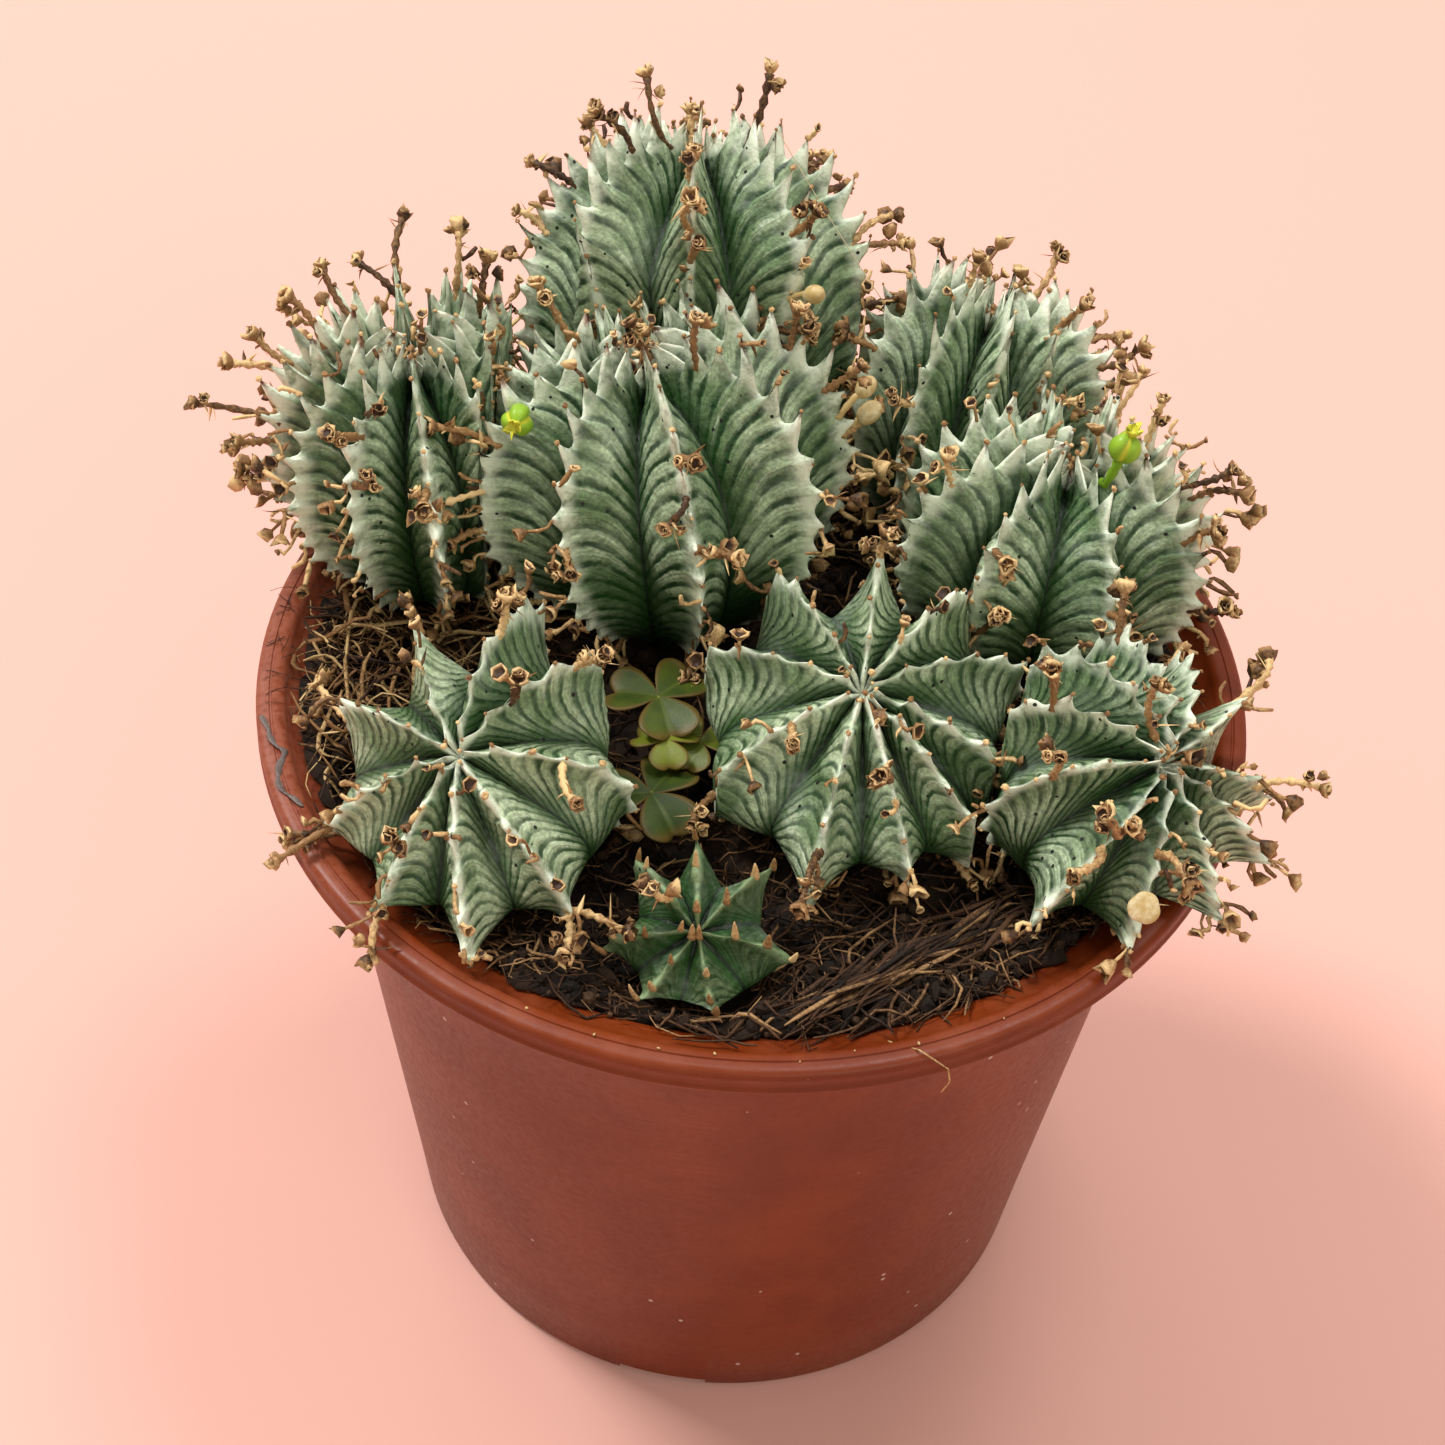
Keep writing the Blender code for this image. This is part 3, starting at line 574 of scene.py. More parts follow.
class Net:
    """Adds nodes to a node tree and links them, for materials and for shared effects."""

    def __init__(self, tree: bpy.types.NodeTree) -> None:
        """Keeps the tree that the nodes go into."""
        self.tree = tree

    def node(self, kind: str, inputs: dict | None = None, **settings: object) -> bpy.types.Node:
        """Adds one node.

        Args:
            kind: Its type, without the leading ShaderNode.
            inputs: A value or a socket for each named or numbered input.
            settings: Its other properties.

        Returns:
            The node.
        """
        made = self.tree.nodes.new("ShaderNode" + kind)
        for key, value in settings.items():
            setattr(made, key, value)
        for key, value in (inputs or {}).items():
            self.feed(made.inputs[key], value)
        return made

    def feed(self, target: Socket, value: object) -> None:
        """Links a socket to an input, or sets the input to a plain value."""
        if isinstance(value, bpy.types.NodeSocket):
            self.tree.links.new(value, target)
        elif isinstance(value, tuple) and len(value) == 3 and target.type == "RGBA":
            target.default_value = (*value, 1.0)
        else:
            target.default_value = value

    def place(self) -> Socket:
        """The point of the surface in the object's own coordinates, in metres."""
        return self.node("TexCoord").outputs["Object"]

    def attribute(self, name: str) -> Socket:
        """A value that the mesh carries."""
        return self.node("Attribute", attribute_name=name).outputs["Fac"]

    def texture(self, place: Socket, scale: object, detail: float,
                roughness: float = 0.5) -> Socket:
        """Noise from 0 to 1 at a plain scale."""
        inputs = {"Vector": place, "Scale": scale, "Detail": detail, "Roughness": roughness}
        return self.node("TexNoise", inputs).outputs["Fac"]

    def noise(self, place: Socket, size: float, detail: float = 3.0,
              roughness: float = 0.55) -> Socket:
        """Noise from 0 to 1 whose lumps are about size millimetres wide."""
        return self.texture(place, 1.0 / (size * MM), detail, roughness)

    def math(self, operation: str, first: object, second: object = 0.0,
             clamp: bool = False) -> Socket:
        """One step of arithmetic."""
        made = self.node("Math", {0: first, 1: second}, operation=operation, use_clamp=clamp)
        return made.outputs[0]

    def times(self, first: object, second: object, clamp: bool = False) -> Socket:
        """The product of two values."""
        return self.math("MULTIPLY", first, second, clamp)

    def plus(self, first: object, second: object) -> Socket:
        """The sum of two values."""
        return self.math("ADD", first, second)

    def swing(self, noise: Socket, share: float) -> Socket:
        """How far a noise is from its middle, times a share."""
        return self.times(self.math("SUBTRACT", noise, 0.5), share)

    def step(self, value: object, low: float, high: float, to_low: float = 0.0,
             to_high: float = 1.0) -> Socket:
        """A soft step: to_low below low, to_high above high."""
        inputs = {"Value": value, "From Min": low, "From Max": high, "To Min": to_low,
                  "To Max": to_high}
        return self.node("MapRange", inputs, interpolation_type="SMOOTHSTEP").outputs["Result"]

    def mix(self, share: object, first: object, second: object, blend: str = "MIX") -> Socket:
        """Mixes two colours by a share."""
        made = self.node("Mix", data_type="RGBA", blend_type=blend)
        self.feed(made.inputs["Factor"], share)
        colours = [socket for socket in made.inputs if socket.type == "RGBA"]
        self.feed(colours[0], first)
        self.feed(colours[1], second)
        return next(socket for socket in made.outputs if socket.type == "RGBA")

    def group(self, tree: bpy.types.NodeTree, inputs: dict) -> bpy.types.Node:
        """Places a shared effect."""
        made = self.node("Group", node_tree=tree)
        for key, value in inputs.items():
            self.feed(made.inputs[key], value)
        return made

    def bump(self, height: Socket, strength: float, distance: float) -> Socket:
        """A normal from a height; the distance is in millimetres."""
        inputs = {"Height": height, "Strength": strength, "Distance": distance * MM}
        return self.node("Bump", inputs).outputs["Normal"]

    def dress(self, shader: bpy.types.Node, colour: Socket, rough: Socket,
              normal: Socket) -> None:
        """Feeds a shader its colour, its roughness and its normal."""
        for name, value in (("Base Color", colour), ("Roughness", rough), ("Normal", normal)):
            self.feed(shader.inputs[name], value)


def new_group(name: str, inputs: dict[str, float]) -> tuple[Net, dict, Socket]:
    """Starts a shared effect with a Vector input, some values and a Mask output.

    Args:
        name: The group's name.
        inputs: The values by name, with what each is unless it is given.

    Returns:
        A net to add nodes to, the input sockets by name and the Mask's socket.
    """
    tree = bpy.data.node_groups.new(name, "ShaderNodeTree")
    tree.interface.new_socket("Vector", in_out="INPUT", socket_type="NodeSocketVector")
    for label, value in inputs.items():
        made = tree.interface.new_socket(label, in_out="INPUT", socket_type="NodeSocketFloat")
        made.default_value = value
    tree.interface.new_socket("Mask", in_out="OUTPUT", socket_type="NodeSocketFloat")
    entry = tree.nodes.new("NodeGroupInput")
    leave = tree.nodes.new("NodeGroupOutput")
    given = {socket.name: socket for socket in entry.outputs if socket.name}
    return Net(tree), given, leave.inputs["Mask"]


def speck_group() -> bpy.types.NodeTree:
    """A shared effect: scattered round specks, thicker in some places than in others."""
    net, given, result = new_group("specks", {"Scale": 500.0, "Size": 0.2, "Cover": 0.5})
    cells = net.node("TexVoronoi", {"Vector": given["Vector"], "Scale": given["Scale"]})
    dot = net.math("LESS_THAN", cells.outputs["Distance"], given["Size"])
    lot = net.node("SeparateColor", {"Color": cells.outputs["Color"]}).outputs["Red"]
    patch = net.texture(given["Vector"], 90.0, 1.0)
    chance = net.times(net.step(patch, 0.40, 0.68), given["Cover"])
    net.feed(result, net.times(dot, net.math("LESS_THAN", lot, chance)))
    return net.tree


def dust_group() -> bpy.types.NodeTree:
    """A shared effect: dust that lies in soft uneven patches, more of it on upward faces."""
    net, given, result = new_group("dust", {"Amount": 0.5, "Scale": 60.0})
    wide = net.texture(given["Vector"], given["Scale"], 4.0, 0.7)
    normal = net.node("NewGeometry").outputs["Normal"]
    upward = net.step(net.node("SeparateXYZ", {"Vector": normal}).outputs["Z"], -0.2, 0.9)
    mask = net.times(net.step(wide, 0.46, 0.70), upward)
    net.feed(result, net.times(mask, given["Amount"], clamp=True))
    return net.tree


def new_finish(name: str, specular: float) -> tuple[bpy.types.Material, Net, bpy.types.Node]:
    """Starts a node material.

    Args:
        name: The material's name.
        specular: How strongly it shines.

    Returns:
        The material, a net to add nodes to and its Principled shader.
    """
    made = bpy.data.materials.new(name)
    made.use_nodes = True
    shader = made.node_tree.nodes["Principled BSDF"]
    shader.inputs["Specular IOR Level"].default_value = specular
    return made, Net(made.node_tree), shader


@dataclass(frozen=True)
class Effects:
    """The effects that several finishes share."""

    specks: bpy.types.NodeTree
    dust: bpy.types.NodeTree

    def dusted(self, net: Net, place: Socket, amount: float, scale: float) -> Socket:
        """Where dust lies on a surface."""
        inputs = {"Vector": place, "Amount": amount, "Scale": scale}
        return net.group(self.dust, inputs).outputs["Mask"]

    def specked(self, net: Net, place: Socket, scale: float, size: float,
                cover: float) -> Socket:
        """Where specks lie on a surface."""
        inputs = {"Vector": place, "Scale": scale, "Size": size, "Cover": cover}
        return net.group(self.specks, inputs).outputs["Mask"]


@dataclass(frozen=True)
class FleshFinish:
    """Waxy banded skin: pale bloom, green growth bands, cream crests with a painted highlight,
    brown tooth tips, and painted shade at the foot and in the furrows.
    """

    name: str
    bloom: Colour
    middle: Colour
    band: Colour
    # Dark green for the foot and the furrows, painted shade
    deep: Colour
    # Cream for the crests and their edges: pale wax, partly a painted highlight
    crest: Colour
    edge: Colour
    tip: Colour
    band_strength: float
    streaked: float
    shadow: Colour = (0.006, 0.018, 0.007)
    dust: Colour = (0.40, 0.45, 0.40)
    spot: Colour = (0.012, 0.014, 0.010)

    def bands(self, net: Net, place: Socket, small: Socket, streak: Socket) -> Socket:
        """Where the growth bands lie: narrow dark furrows with weaker lines between them.

        Args:
            net: The net to add nodes to.
            place: The point of the surface.
            small: The noise that makes the bands waver.
            streak: The noise along the bands.

        Returns:
            The share of the band's colour.
        """
        count = net.plus(net.attribute("band"),
                         net.plus(net.swing(small, 0.45), net.swing(streak, 0.16)))
        part = net.math("FRACT", count)
        line = net.times(net.step(part, 0.26, 0.42), net.step(part, 0.54, 0.92, 1.0, 0.0))
        quarters = net.times(count, 4.0)
        thin = net.math("ABSOLUTE", net.math("SUBTRACT", net.math("FRACT", quarters), 0.5))
        lot = net.node("TexWhiteNoise", {"W": net.math("FLOOR", quarters)},
                       noise_dimensions="1D").outputs["Value"]
        thin = net.times(net.step(thin, 0.04, 0.26, 0.55, 0.0), lot)
        flank = net.step(net.attribute("crest"), 0.30, 0.88, 1.0, 0.25)
        uneven = net.step(net.noise(place, 7.0), 0.32, 0.62, 0.50, 1.0)
        band = net.times(net.times(net.math("MAXIMUM", line, thin), flank), uneven)
        return net.times(band, self.band_strength, clamp=True)

    def material(self, effects: Effects) -> bpy.types.Material:
        """Builds the material.

        Args:
            effects: The shared effects.

        Returns:
            The material.
        """
        made, net, shader = new_finish(self.name, 0.36)
        place = net.place()
        wide = net.noise(place, 16.0, 2.0)
        small = net.noise(place, 4.0, 4.0, 0.6)
        fine = net.noise(place, 0.9, 3.0, 0.6)
        colour = net.mix(net.step(wide, 0.38, 0.60), self.middle, self.bloom)
        colour = net.mix(net.step(small, 0.55, 0.75, 0.0, 0.6), colour, self.middle)
        # Streaks that run along the growth bands
        along = net.node("CombineXYZ", {"X": net.times(net.attribute("band"), 5.0),
                                        "Y": net.times(net.attribute("across"), 7.0)})
        streak = net.texture(along.outputs["Vector"], 1.0, 4.0, 0.65)
        rubbed = net.texture(along.outputs["Vector"], 0.37, 5.0, 0.7)
        colour = net.mix(net.step(rubbed, 0.54, 0.70, 0.0, 0.40), colour, self.crest)
        band = self.bands(net, place, small, streak)
        colour = net.mix(band, colour, self.band)
        streaks = net.step(streak, 0.32, 0.68, 0.55, 1.40)
        colour = net.mix(self.streaked, colour, streaks, "MULTIPLY")
        colour = net.mix(1.0, colour, net.step(fine, 0.34, 0.66, 0.78, 1.20), "MULTIPLY")
        # Darker green towards the foot and in the furrows between the ribs, and near black in the
        # deepest furrows: painted shade
        low = net.plus(net.attribute("rise"), net.swing(wide, 0.3))
        colour = net.mix(net.step(low, 0.16, 0.50, 0.92, 0.0), colour, self.deep)
        furrow = net.attribute("furrow")
        colour = net.mix(net.step(furrow, 0.01, 0.60, 0.0, 0.80), colour, self.deep)
        colour = net.mix(net.step(furrow, 0.70, 0.98, 0.0, 0.90), colour, self.shadow)
        # Cream crests, worn and uneven: pale wax, partly a painted highlight along the ridges; and
        # brown tips
        crest = net.attribute("crest")
        wear_and_sheen = net.times(net.step(crest, 0.26, 0.80), net.step(small, 0.34, 0.56, 0.25, 1.0))
        colour = net.mix(net.times(wear_and_sheen, 0.90), colour, self.crest)
        edge = net.times(net.step(crest, 0.84, 0.97), net.step(small, 0.36, 0.56, 0.15, 1.0))
        colour = net.mix(net.times(edge, 0.75), colour, self.edge)
        tip = net.step(net.plus(net.attribute("tip"), net.swing(fine, 0.3)), 0.74, 0.95)
        colour = net.mix(tip, colour, self.tip)
        colour = net.mix(effects.dusted(net, place, 0.26, 70.0), colour, self.dust)
        colour = net.mix(effects.specked(net, place, 620.0, 0.26, 0.13), colour, self.spot)
        rough = net.plus(net.step(band, 0.0, 1.0, 0.50, 0.34), net.times(fine, 0.12))
        height = net.plus(net.times(fine, 0.8), net.times(small, 0.8))
        height = net.math("SUBTRACT", height, net.times(band, 0.35))
        net.dress(shader, colour, rough, net.bump(height, 0.65, 0.45))
        return made


BARREL_FLESH = FleshFinish(
    "banded_flesh", bloom=(0.415, 0.520, 0.325), middle=(0.135, 0.214, 0.096),
    band=(0.012, 0.044, 0.012), deep=(0.010, 0.050, 0.006), crest=(0.86, 0.93, 0.74),
    edge=(0.86, 0.80, 0.62), tip=(0.24, 0.090, 0.040), band_strength=1.0, streaked=0.65,
)
STAR_FLESH = FleshFinish(
    "pale_flesh", bloom=(0.470, 0.565, 0.355), middle=(0.178, 0.262, 0.124),
    band=(0.016, 0.053, 0.014), deep=(0.012, 0.056, 0.007), crest=(0.88, 0.95, 0.76),
    edge=(0.92, 0.89, 0.74), tip=(0.26, 0.100, 0.045), band_strength=0.95, streaked=0.4,
)
# The young offset in front: greener, and its skin darker as painted shade, for it stands in the
# shade of its neighbours
SHADED_YOUNG_FLESH = FleshFinish(
    "shaded_young_flesh", bloom=(0.130, 0.185, 0.085), middle=(0.055, 0.100, 0.035),
    band=(0.014, 0.050, 0.012), deep=(0.014, 0.070, 0.008), crest=(0.26, 0.36, 0.18),
    edge=(0.20, 0.30, 0.13), tip=(0.46, 0.29, 0.14), band_strength=0.80, streaked=0.8,
)


@dataclass(frozen=True)
class ScrapFinish:
    """Dry plant matter and peat: every piece has its own shade between dark and light."""

    name: str
    dark: Colour
    middle: Colour
    light: Colour
    roughness: float = 0.78
    grain: float = 0.7

    def material(self) -> bpy.types.Material:
        """Builds the material.

        Returns:
            The material.
        """
        made, net, shader = new_finish(self.name, 0.3)
        place = net.place()
        fine = net.noise(place, self.grain, 3.0, 0.65)
        wide = net.noise(place, 6.0 * self.grain, 2.0)
        both = net.plus(net.swing(fine, 0.9), net.swing(wide, 0.5))
        level = net.plus(net.attribute("shade"), both)
        colour = net.mix(net.step(level, 0.0, 0.52), self.dark, self.middle)
        colour = net.mix(net.step(level, 0.50, 1.0), colour, self.light)
        rough = net.plus(self.roughness - 0.1, net.times(fine, 0.2))
        net.dress(shader, colour, rough, net.bump(fine, 0.6, 0.25))
        return made


STALK_SCRAP = ScrapFinish("dried_stalk", (0.045, 0.021, 0.010), (0.310, 0.160, 0.060),
                          (0.80, 0.55, 0.26), roughness=0.52)
STRAW_SCRAP = ScrapFinish("straw", (0.026, 0.011, 0.005), (0.210, 0.100, 0.034),
                          (0.62, 0.42, 0.19))
FIBRE_SCRAP = ScrapFinish("coir_fibre", (0.012, 0.005, 0.002), (0.075, 0.033, 0.013),
                          (0.38, 0.22, 0.095))
CAPSULE_SCRAP = ScrapFinish("ripe_capsule", (0.20, 0.105, 0.035), (0.50, 0.35, 0.13),
                            (0.76, 0.66, 0.42), roughness=0.5, grain=1.6)
RESIDUE_SCRAP = ScrapFinish("dried_residue", (0.060, 0.042, 0.040), (0.150, 0.115, 0.105),
                            (0.34, 0.29, 0.27), roughness=0.6)
PEAT_SCRAP = ScrapFinish("peat", (0.004, 0.0022, 0.0012), (0.026, 0.013, 0.006),
                         (0.120, 0.066, 0.033), roughness=0.9, grain=0.9)


@dataclass(frozen=True)
class PotFinish:
    """Moulded red-brown plastic with turning marks, scuffs, dust, dried water marks and a painted
    sheen on the left of the rim.
    """

    name: str = "moulded_plastic"
    base: Colour = (0.192, 0.030, 0.003)
    deep: Colour = (0.152, 0.021, 0.002)
    scuffed: Colour = (0.33, 0.085, 0.036)
    lime: Colour = (0.50, 0.38, 0.32)
    # Dust and a painted sheen, on the left of the rim
    dust_and_sheen: Colour = (0.35, 0.112, 0.068)

    def material(self, effects: Effects) -> bpy.types.Material:
        """Builds the material.

        Args:
            effects: The shared effects.

        Returns:
            The material.
        """
        made, net, shader = new_finish(self.name, 0.30)
        place = net.place()
        split = net.node("SeparateXYZ", {"Vector": place}).outputs
        # Turning marks run round the pot, so their noise hardly changes with the direction
        away = net.math("SQRT", net.plus(net.math("POWER", split["X"], 2.0),
                                         net.math("POWER", split["Y"], 2.0)))
        around = net.times(net.math("ARCTAN2", split["Y"], split["X"]), 0.004)
        track = net.node("CombineXYZ", {"X": away, "Y": split["Z"], "Z": around})
        rings = net.noise(track.outputs["Vector"], 0.9, 2.0, 0.7)
        wide = net.noise(place, 26.0, 3.0, 0.6)
        fine = net.noise(place, 1.6, 4.0, 0.65)
        colour = net.mix(net.step(wide, 0.35, 0.68), self.deep, self.base)
        scuff = net.times(net.step(rings, 0.54, 0.72), net.step(wide, 0.35, 0.6))
        colour = net.mix(net.times(scuff, 0.16), colour, self.scuffed)
        dust = effects.dusted(net, place, 0.30, 45.0)
        colour = net.mix(dust, colour, self.scuffed)
        # The left of the rim is paler: dust, and a painted sheen
        left = net.times(net.step(split["X"], -0.097, -0.055, 1.0, 0.0),
                         net.step(split["Z"], 0.150, 0.158))
        wear_and_sheen = net.times(left, net.step(fine, 0.30, 0.62, 0.20, 0.65))
        colour = net.mix(wear_and_sheen, colour, self.dust_and_sheen)
        colour = net.mix(effects.specked(net, place, 300.0, 0.16, 0.10), colour, self.lime)
        rough = net.plus(net.step(fine, 0.3, 0.7, 0.34, 0.46), net.times(dust, 0.3))
        height = net.plus(net.times(rings, 0.6), net.times(fine, 0.5))
        net.dress(shader, colour, rough, net.bump(height, 0.30, 0.20))
        return made


@dataclass(frozen=True)
class LeafFinish:
    """A thin green blade: paler veins, a coloured margin and a soft bloom."""

    name: str
    deep: Colour
    pale: Colour
    vein: Colour
    margin: Colour
    roughness: float = 0.45

    def material(self) -> bpy.types.Material:
        """Builds the material.

        Returns:
            The material.
        """
        made, net, shader = new_finish(self.name, 0.28)
        place = net.place()
        wide = net.noise(place, 4.0)
        fine = net.noise(place, 0.6, 3.0, 0.6)
        level = net.plus(net.attribute("shade"), net.swing(wide, 0.6))
        colour = net.mix(net.step(level, 0.05, 0.95), self.deep, self.pale)
        colour = net.mix(net.times(net.attribute("vein"), 0.5), colour, self.vein)
        edge = net.step(net.attribute("edge"), 0.72, 0.98, 0.0, 0.75)
        colour = net.mix(edge, colour, self.margin)
        rough = net.plus(self.roughness - 0.08, net.times(fine, 0.16))
        net.dress(shader, colour, rough, net.bump(fine, 0.4, 0.12))
        return made


WEED_LEAF = LeafFinish("weed_leaf", (0.028, 0.052, 0.006), (0.15, 0.175, 0.012),
                       (0.10, 0.13, 0.02), (0.13, 0.070, 0.016))
GREEN_FRUIT = LeafFinish("green_fruit", (0.10, 0.26, 0.012), (0.32, 0.52, 0.035),
                         (0.50, 0.62, 0.08), (0.78, 0.70, 0.05), roughness=0.35)


@dataclass(frozen=True)
class Stem:
    """One ribbed stem: where it stands, how it leans, its size, its teeth and its ribs."""

    name: str
    base: tuple[float, float]
    lean: float
    tilt: float
    length: float
    radius: float
    foot: float
    teeth: int
    growth: Growth
    ribs: tuple[tuple[float, float], ...]

    def frame(self, height: float) -> tuple[Vector, Matrix]:
        """Centre and turn of the stem at a distance along its middle line.

        Args:
            height: The distance from the soil in millimetres, above 0.

        Returns:
            The centre and the turn.
        """
        lean = math.radians(self.lean)
        angle = math.radians(self.tilt) * height / self.length
        reach = height / angle * (1.0 - math.cos(angle))
        rise = height / angle * math.sin(angle)
        turn = Matrix.Rotation(angle, 3, Vector((-math.sin(lean), math.cos(lean), 0.0)))
        centre = Vector((self.base[0] + reach * math.cos(lean),
                         self.base[1] + reach * math.sin(lean), SOIL_LEVEL + rise))
        return centre, turn

    def placed(self, direction: np.ndarray, radius: np.ndarray,
               height: np.ndarray) -> tuple[np.ndarray, np.ndarray]:
        """Puts many points of the upright stem on the leaning one.

        Args:
            direction: Their directions round the stem, in radians.
            radius: Their distances from the middle line.
            height: Their distances along it.

        Returns:
            The middle line's point for each of them, and each point itself.
        """
        bend = math.radians(self.tilt)
        lean = math.radians(self.lean)
        along = np.maximum(height, 0.0)
        angle = np.maximum(bend * along / self.length, 1e-6)
        curve = self.length / bend
        reach = curve * (1.0 - np.cos(angle))
        rise = curve * np.sin(angle)
        heading = np.array((math.cos(lean), math.sin(lean), 0.0))
        aside = np.array((-math.sin(lean), math.cos(lean), 0.0))
        centre = np.array((*self.base, SOIL_LEVEL)) + reach[..., None] * heading
        centre[..., 2] += rise
        forward = radius * np.cos(direction - lean)
        sideways = radius * np.sin(direction - lean)
        point = centre + sideways[..., None] * aside
        point += (forward * np.cos(angle))[..., None] * heading
        point[..., 2] -= forward * np.sin(angle)
        return centre, point

    def middle(self) -> Vector:
        """The middle of the stem, for placing the planes between neighbours."""
        return self.frame(0.5 * self.length)[0]

    def sorted_ribs(self) -> list[tuple[float, float]]:
        """The ribs in order of direction, as (degrees from 0 to 360, share of radius)."""
        return sorted((direction % 360.0, share) for direction, share in self.ribs)


BARREL = Growth.BARREL
STAR = Growth.STAR
STEMS = (
    Stem("stem_1", (-68.2, 33.8), 150.0, 8.0, 57.0, 31.0, 6.8, 15, BARREL, (
        (-79, 1.0), (-110, 1.0), (-139, 1.0), (-168, 1.0), (163, 1.03), (134, 1.10),
        (105, 1.16), (76, 1.16), (47, 1.10), (18, 0.95), (-13, 0.85), (-47, 0.9))),
    Stem("stem_2", (-16.5, 63.0), 93.0, 32.0, 84.0, 35.0, 11.5, 18, Growth.DOME, (
        (-92, 0.99), (-140, 1.0), (-178, 1.02), (146, 1.0), (112, 1.0), (77, 1.0),
        (38, 1.02), (-3, 1.03), (-47, 1.02))),
    Stem("stem_3", (-19.0, 29.0), 135.0, 18.0, 60.0, 37.0, 12.0, 15, BARREL, (
        (-117, 0.97), (-75, 0.97), (-32, 1.0), (6, 1.02), (38, 1.0), (66, 0.95),
        (92, 0.9), (119, 0.92), (148, 0.97), (177, 1.03), (-153, 1.05))),
    Stem("stem_4", (41.0, 58.0), 68.0, 24.0, 54.0, 27.0, 8.8, 13, BARREL, (
        (-125, 0.95), (-86, 0.95), (-50, 1.0), (-14, 1.0), (21, 1.0), (56, 1.0),
        (91, 1.0), (126, 1.0), (162, 0.95), (-162, 0.95))),
    Stem("stem_5", (58.5, 23.0), 50.0, 6.0, 48.0, 31.0, 10.0, 13, BARREL, (
        (-125, 1.0), (-72, 0.97), (-28, 1.0), (5, 1.0), (35, 1.0), (65, 1.0),
        (100, 1.0), (133, 1.0), (164, 1.0), (-162, 1.05))),
    Stem("stem_6", (20.8, -20.3), -95.0, 19.0, 35.0, 36.6, 12.0, 9, STAR, (
        (22, 0.92), (52, 1.05), (85, 1.04), (122, 0.99), (161, 0.95), (212, 0.98),
        (258, 1.12), (288, 0.90), (312, 1.03), (336, 0.99))),
    Stem("stem_7", (-49.5, -40.7), -121.0, 30.0, 35.0, 33.0, 11.0, 9, STAR, (
        (41, 1.04), (75, 1.12), (113, 1.02), (150, 0.96), (198, 0.85), (240, 0.99),
        (272, 1.12), (306, 0.96), (355, 0.87))),
    Stem("stem_8", (-7.6, -68.3), -93.0, 30.0, 17.0, 16.8, 5.4, 5, STAR, (
        (49, 1.10), (93, 1.11), (131, 1.11), (185, 0.96), (234, 0.87), (284, 0.87),
        (352, 0.96))),
    Stem("stem_9", (67.5, -34.5), -44.0, 36.0, 40.0, 29.0, 6.5, 10, STAR, (
        (8, 1.02), (46, 1.08), (74, 1.02), (103, 1.06), (131, 1.02), (162, 0.95),
        (198, 0.9), (242, 1.10), (273, 1.08), (308, 1.08), (341, 1.04))),
)


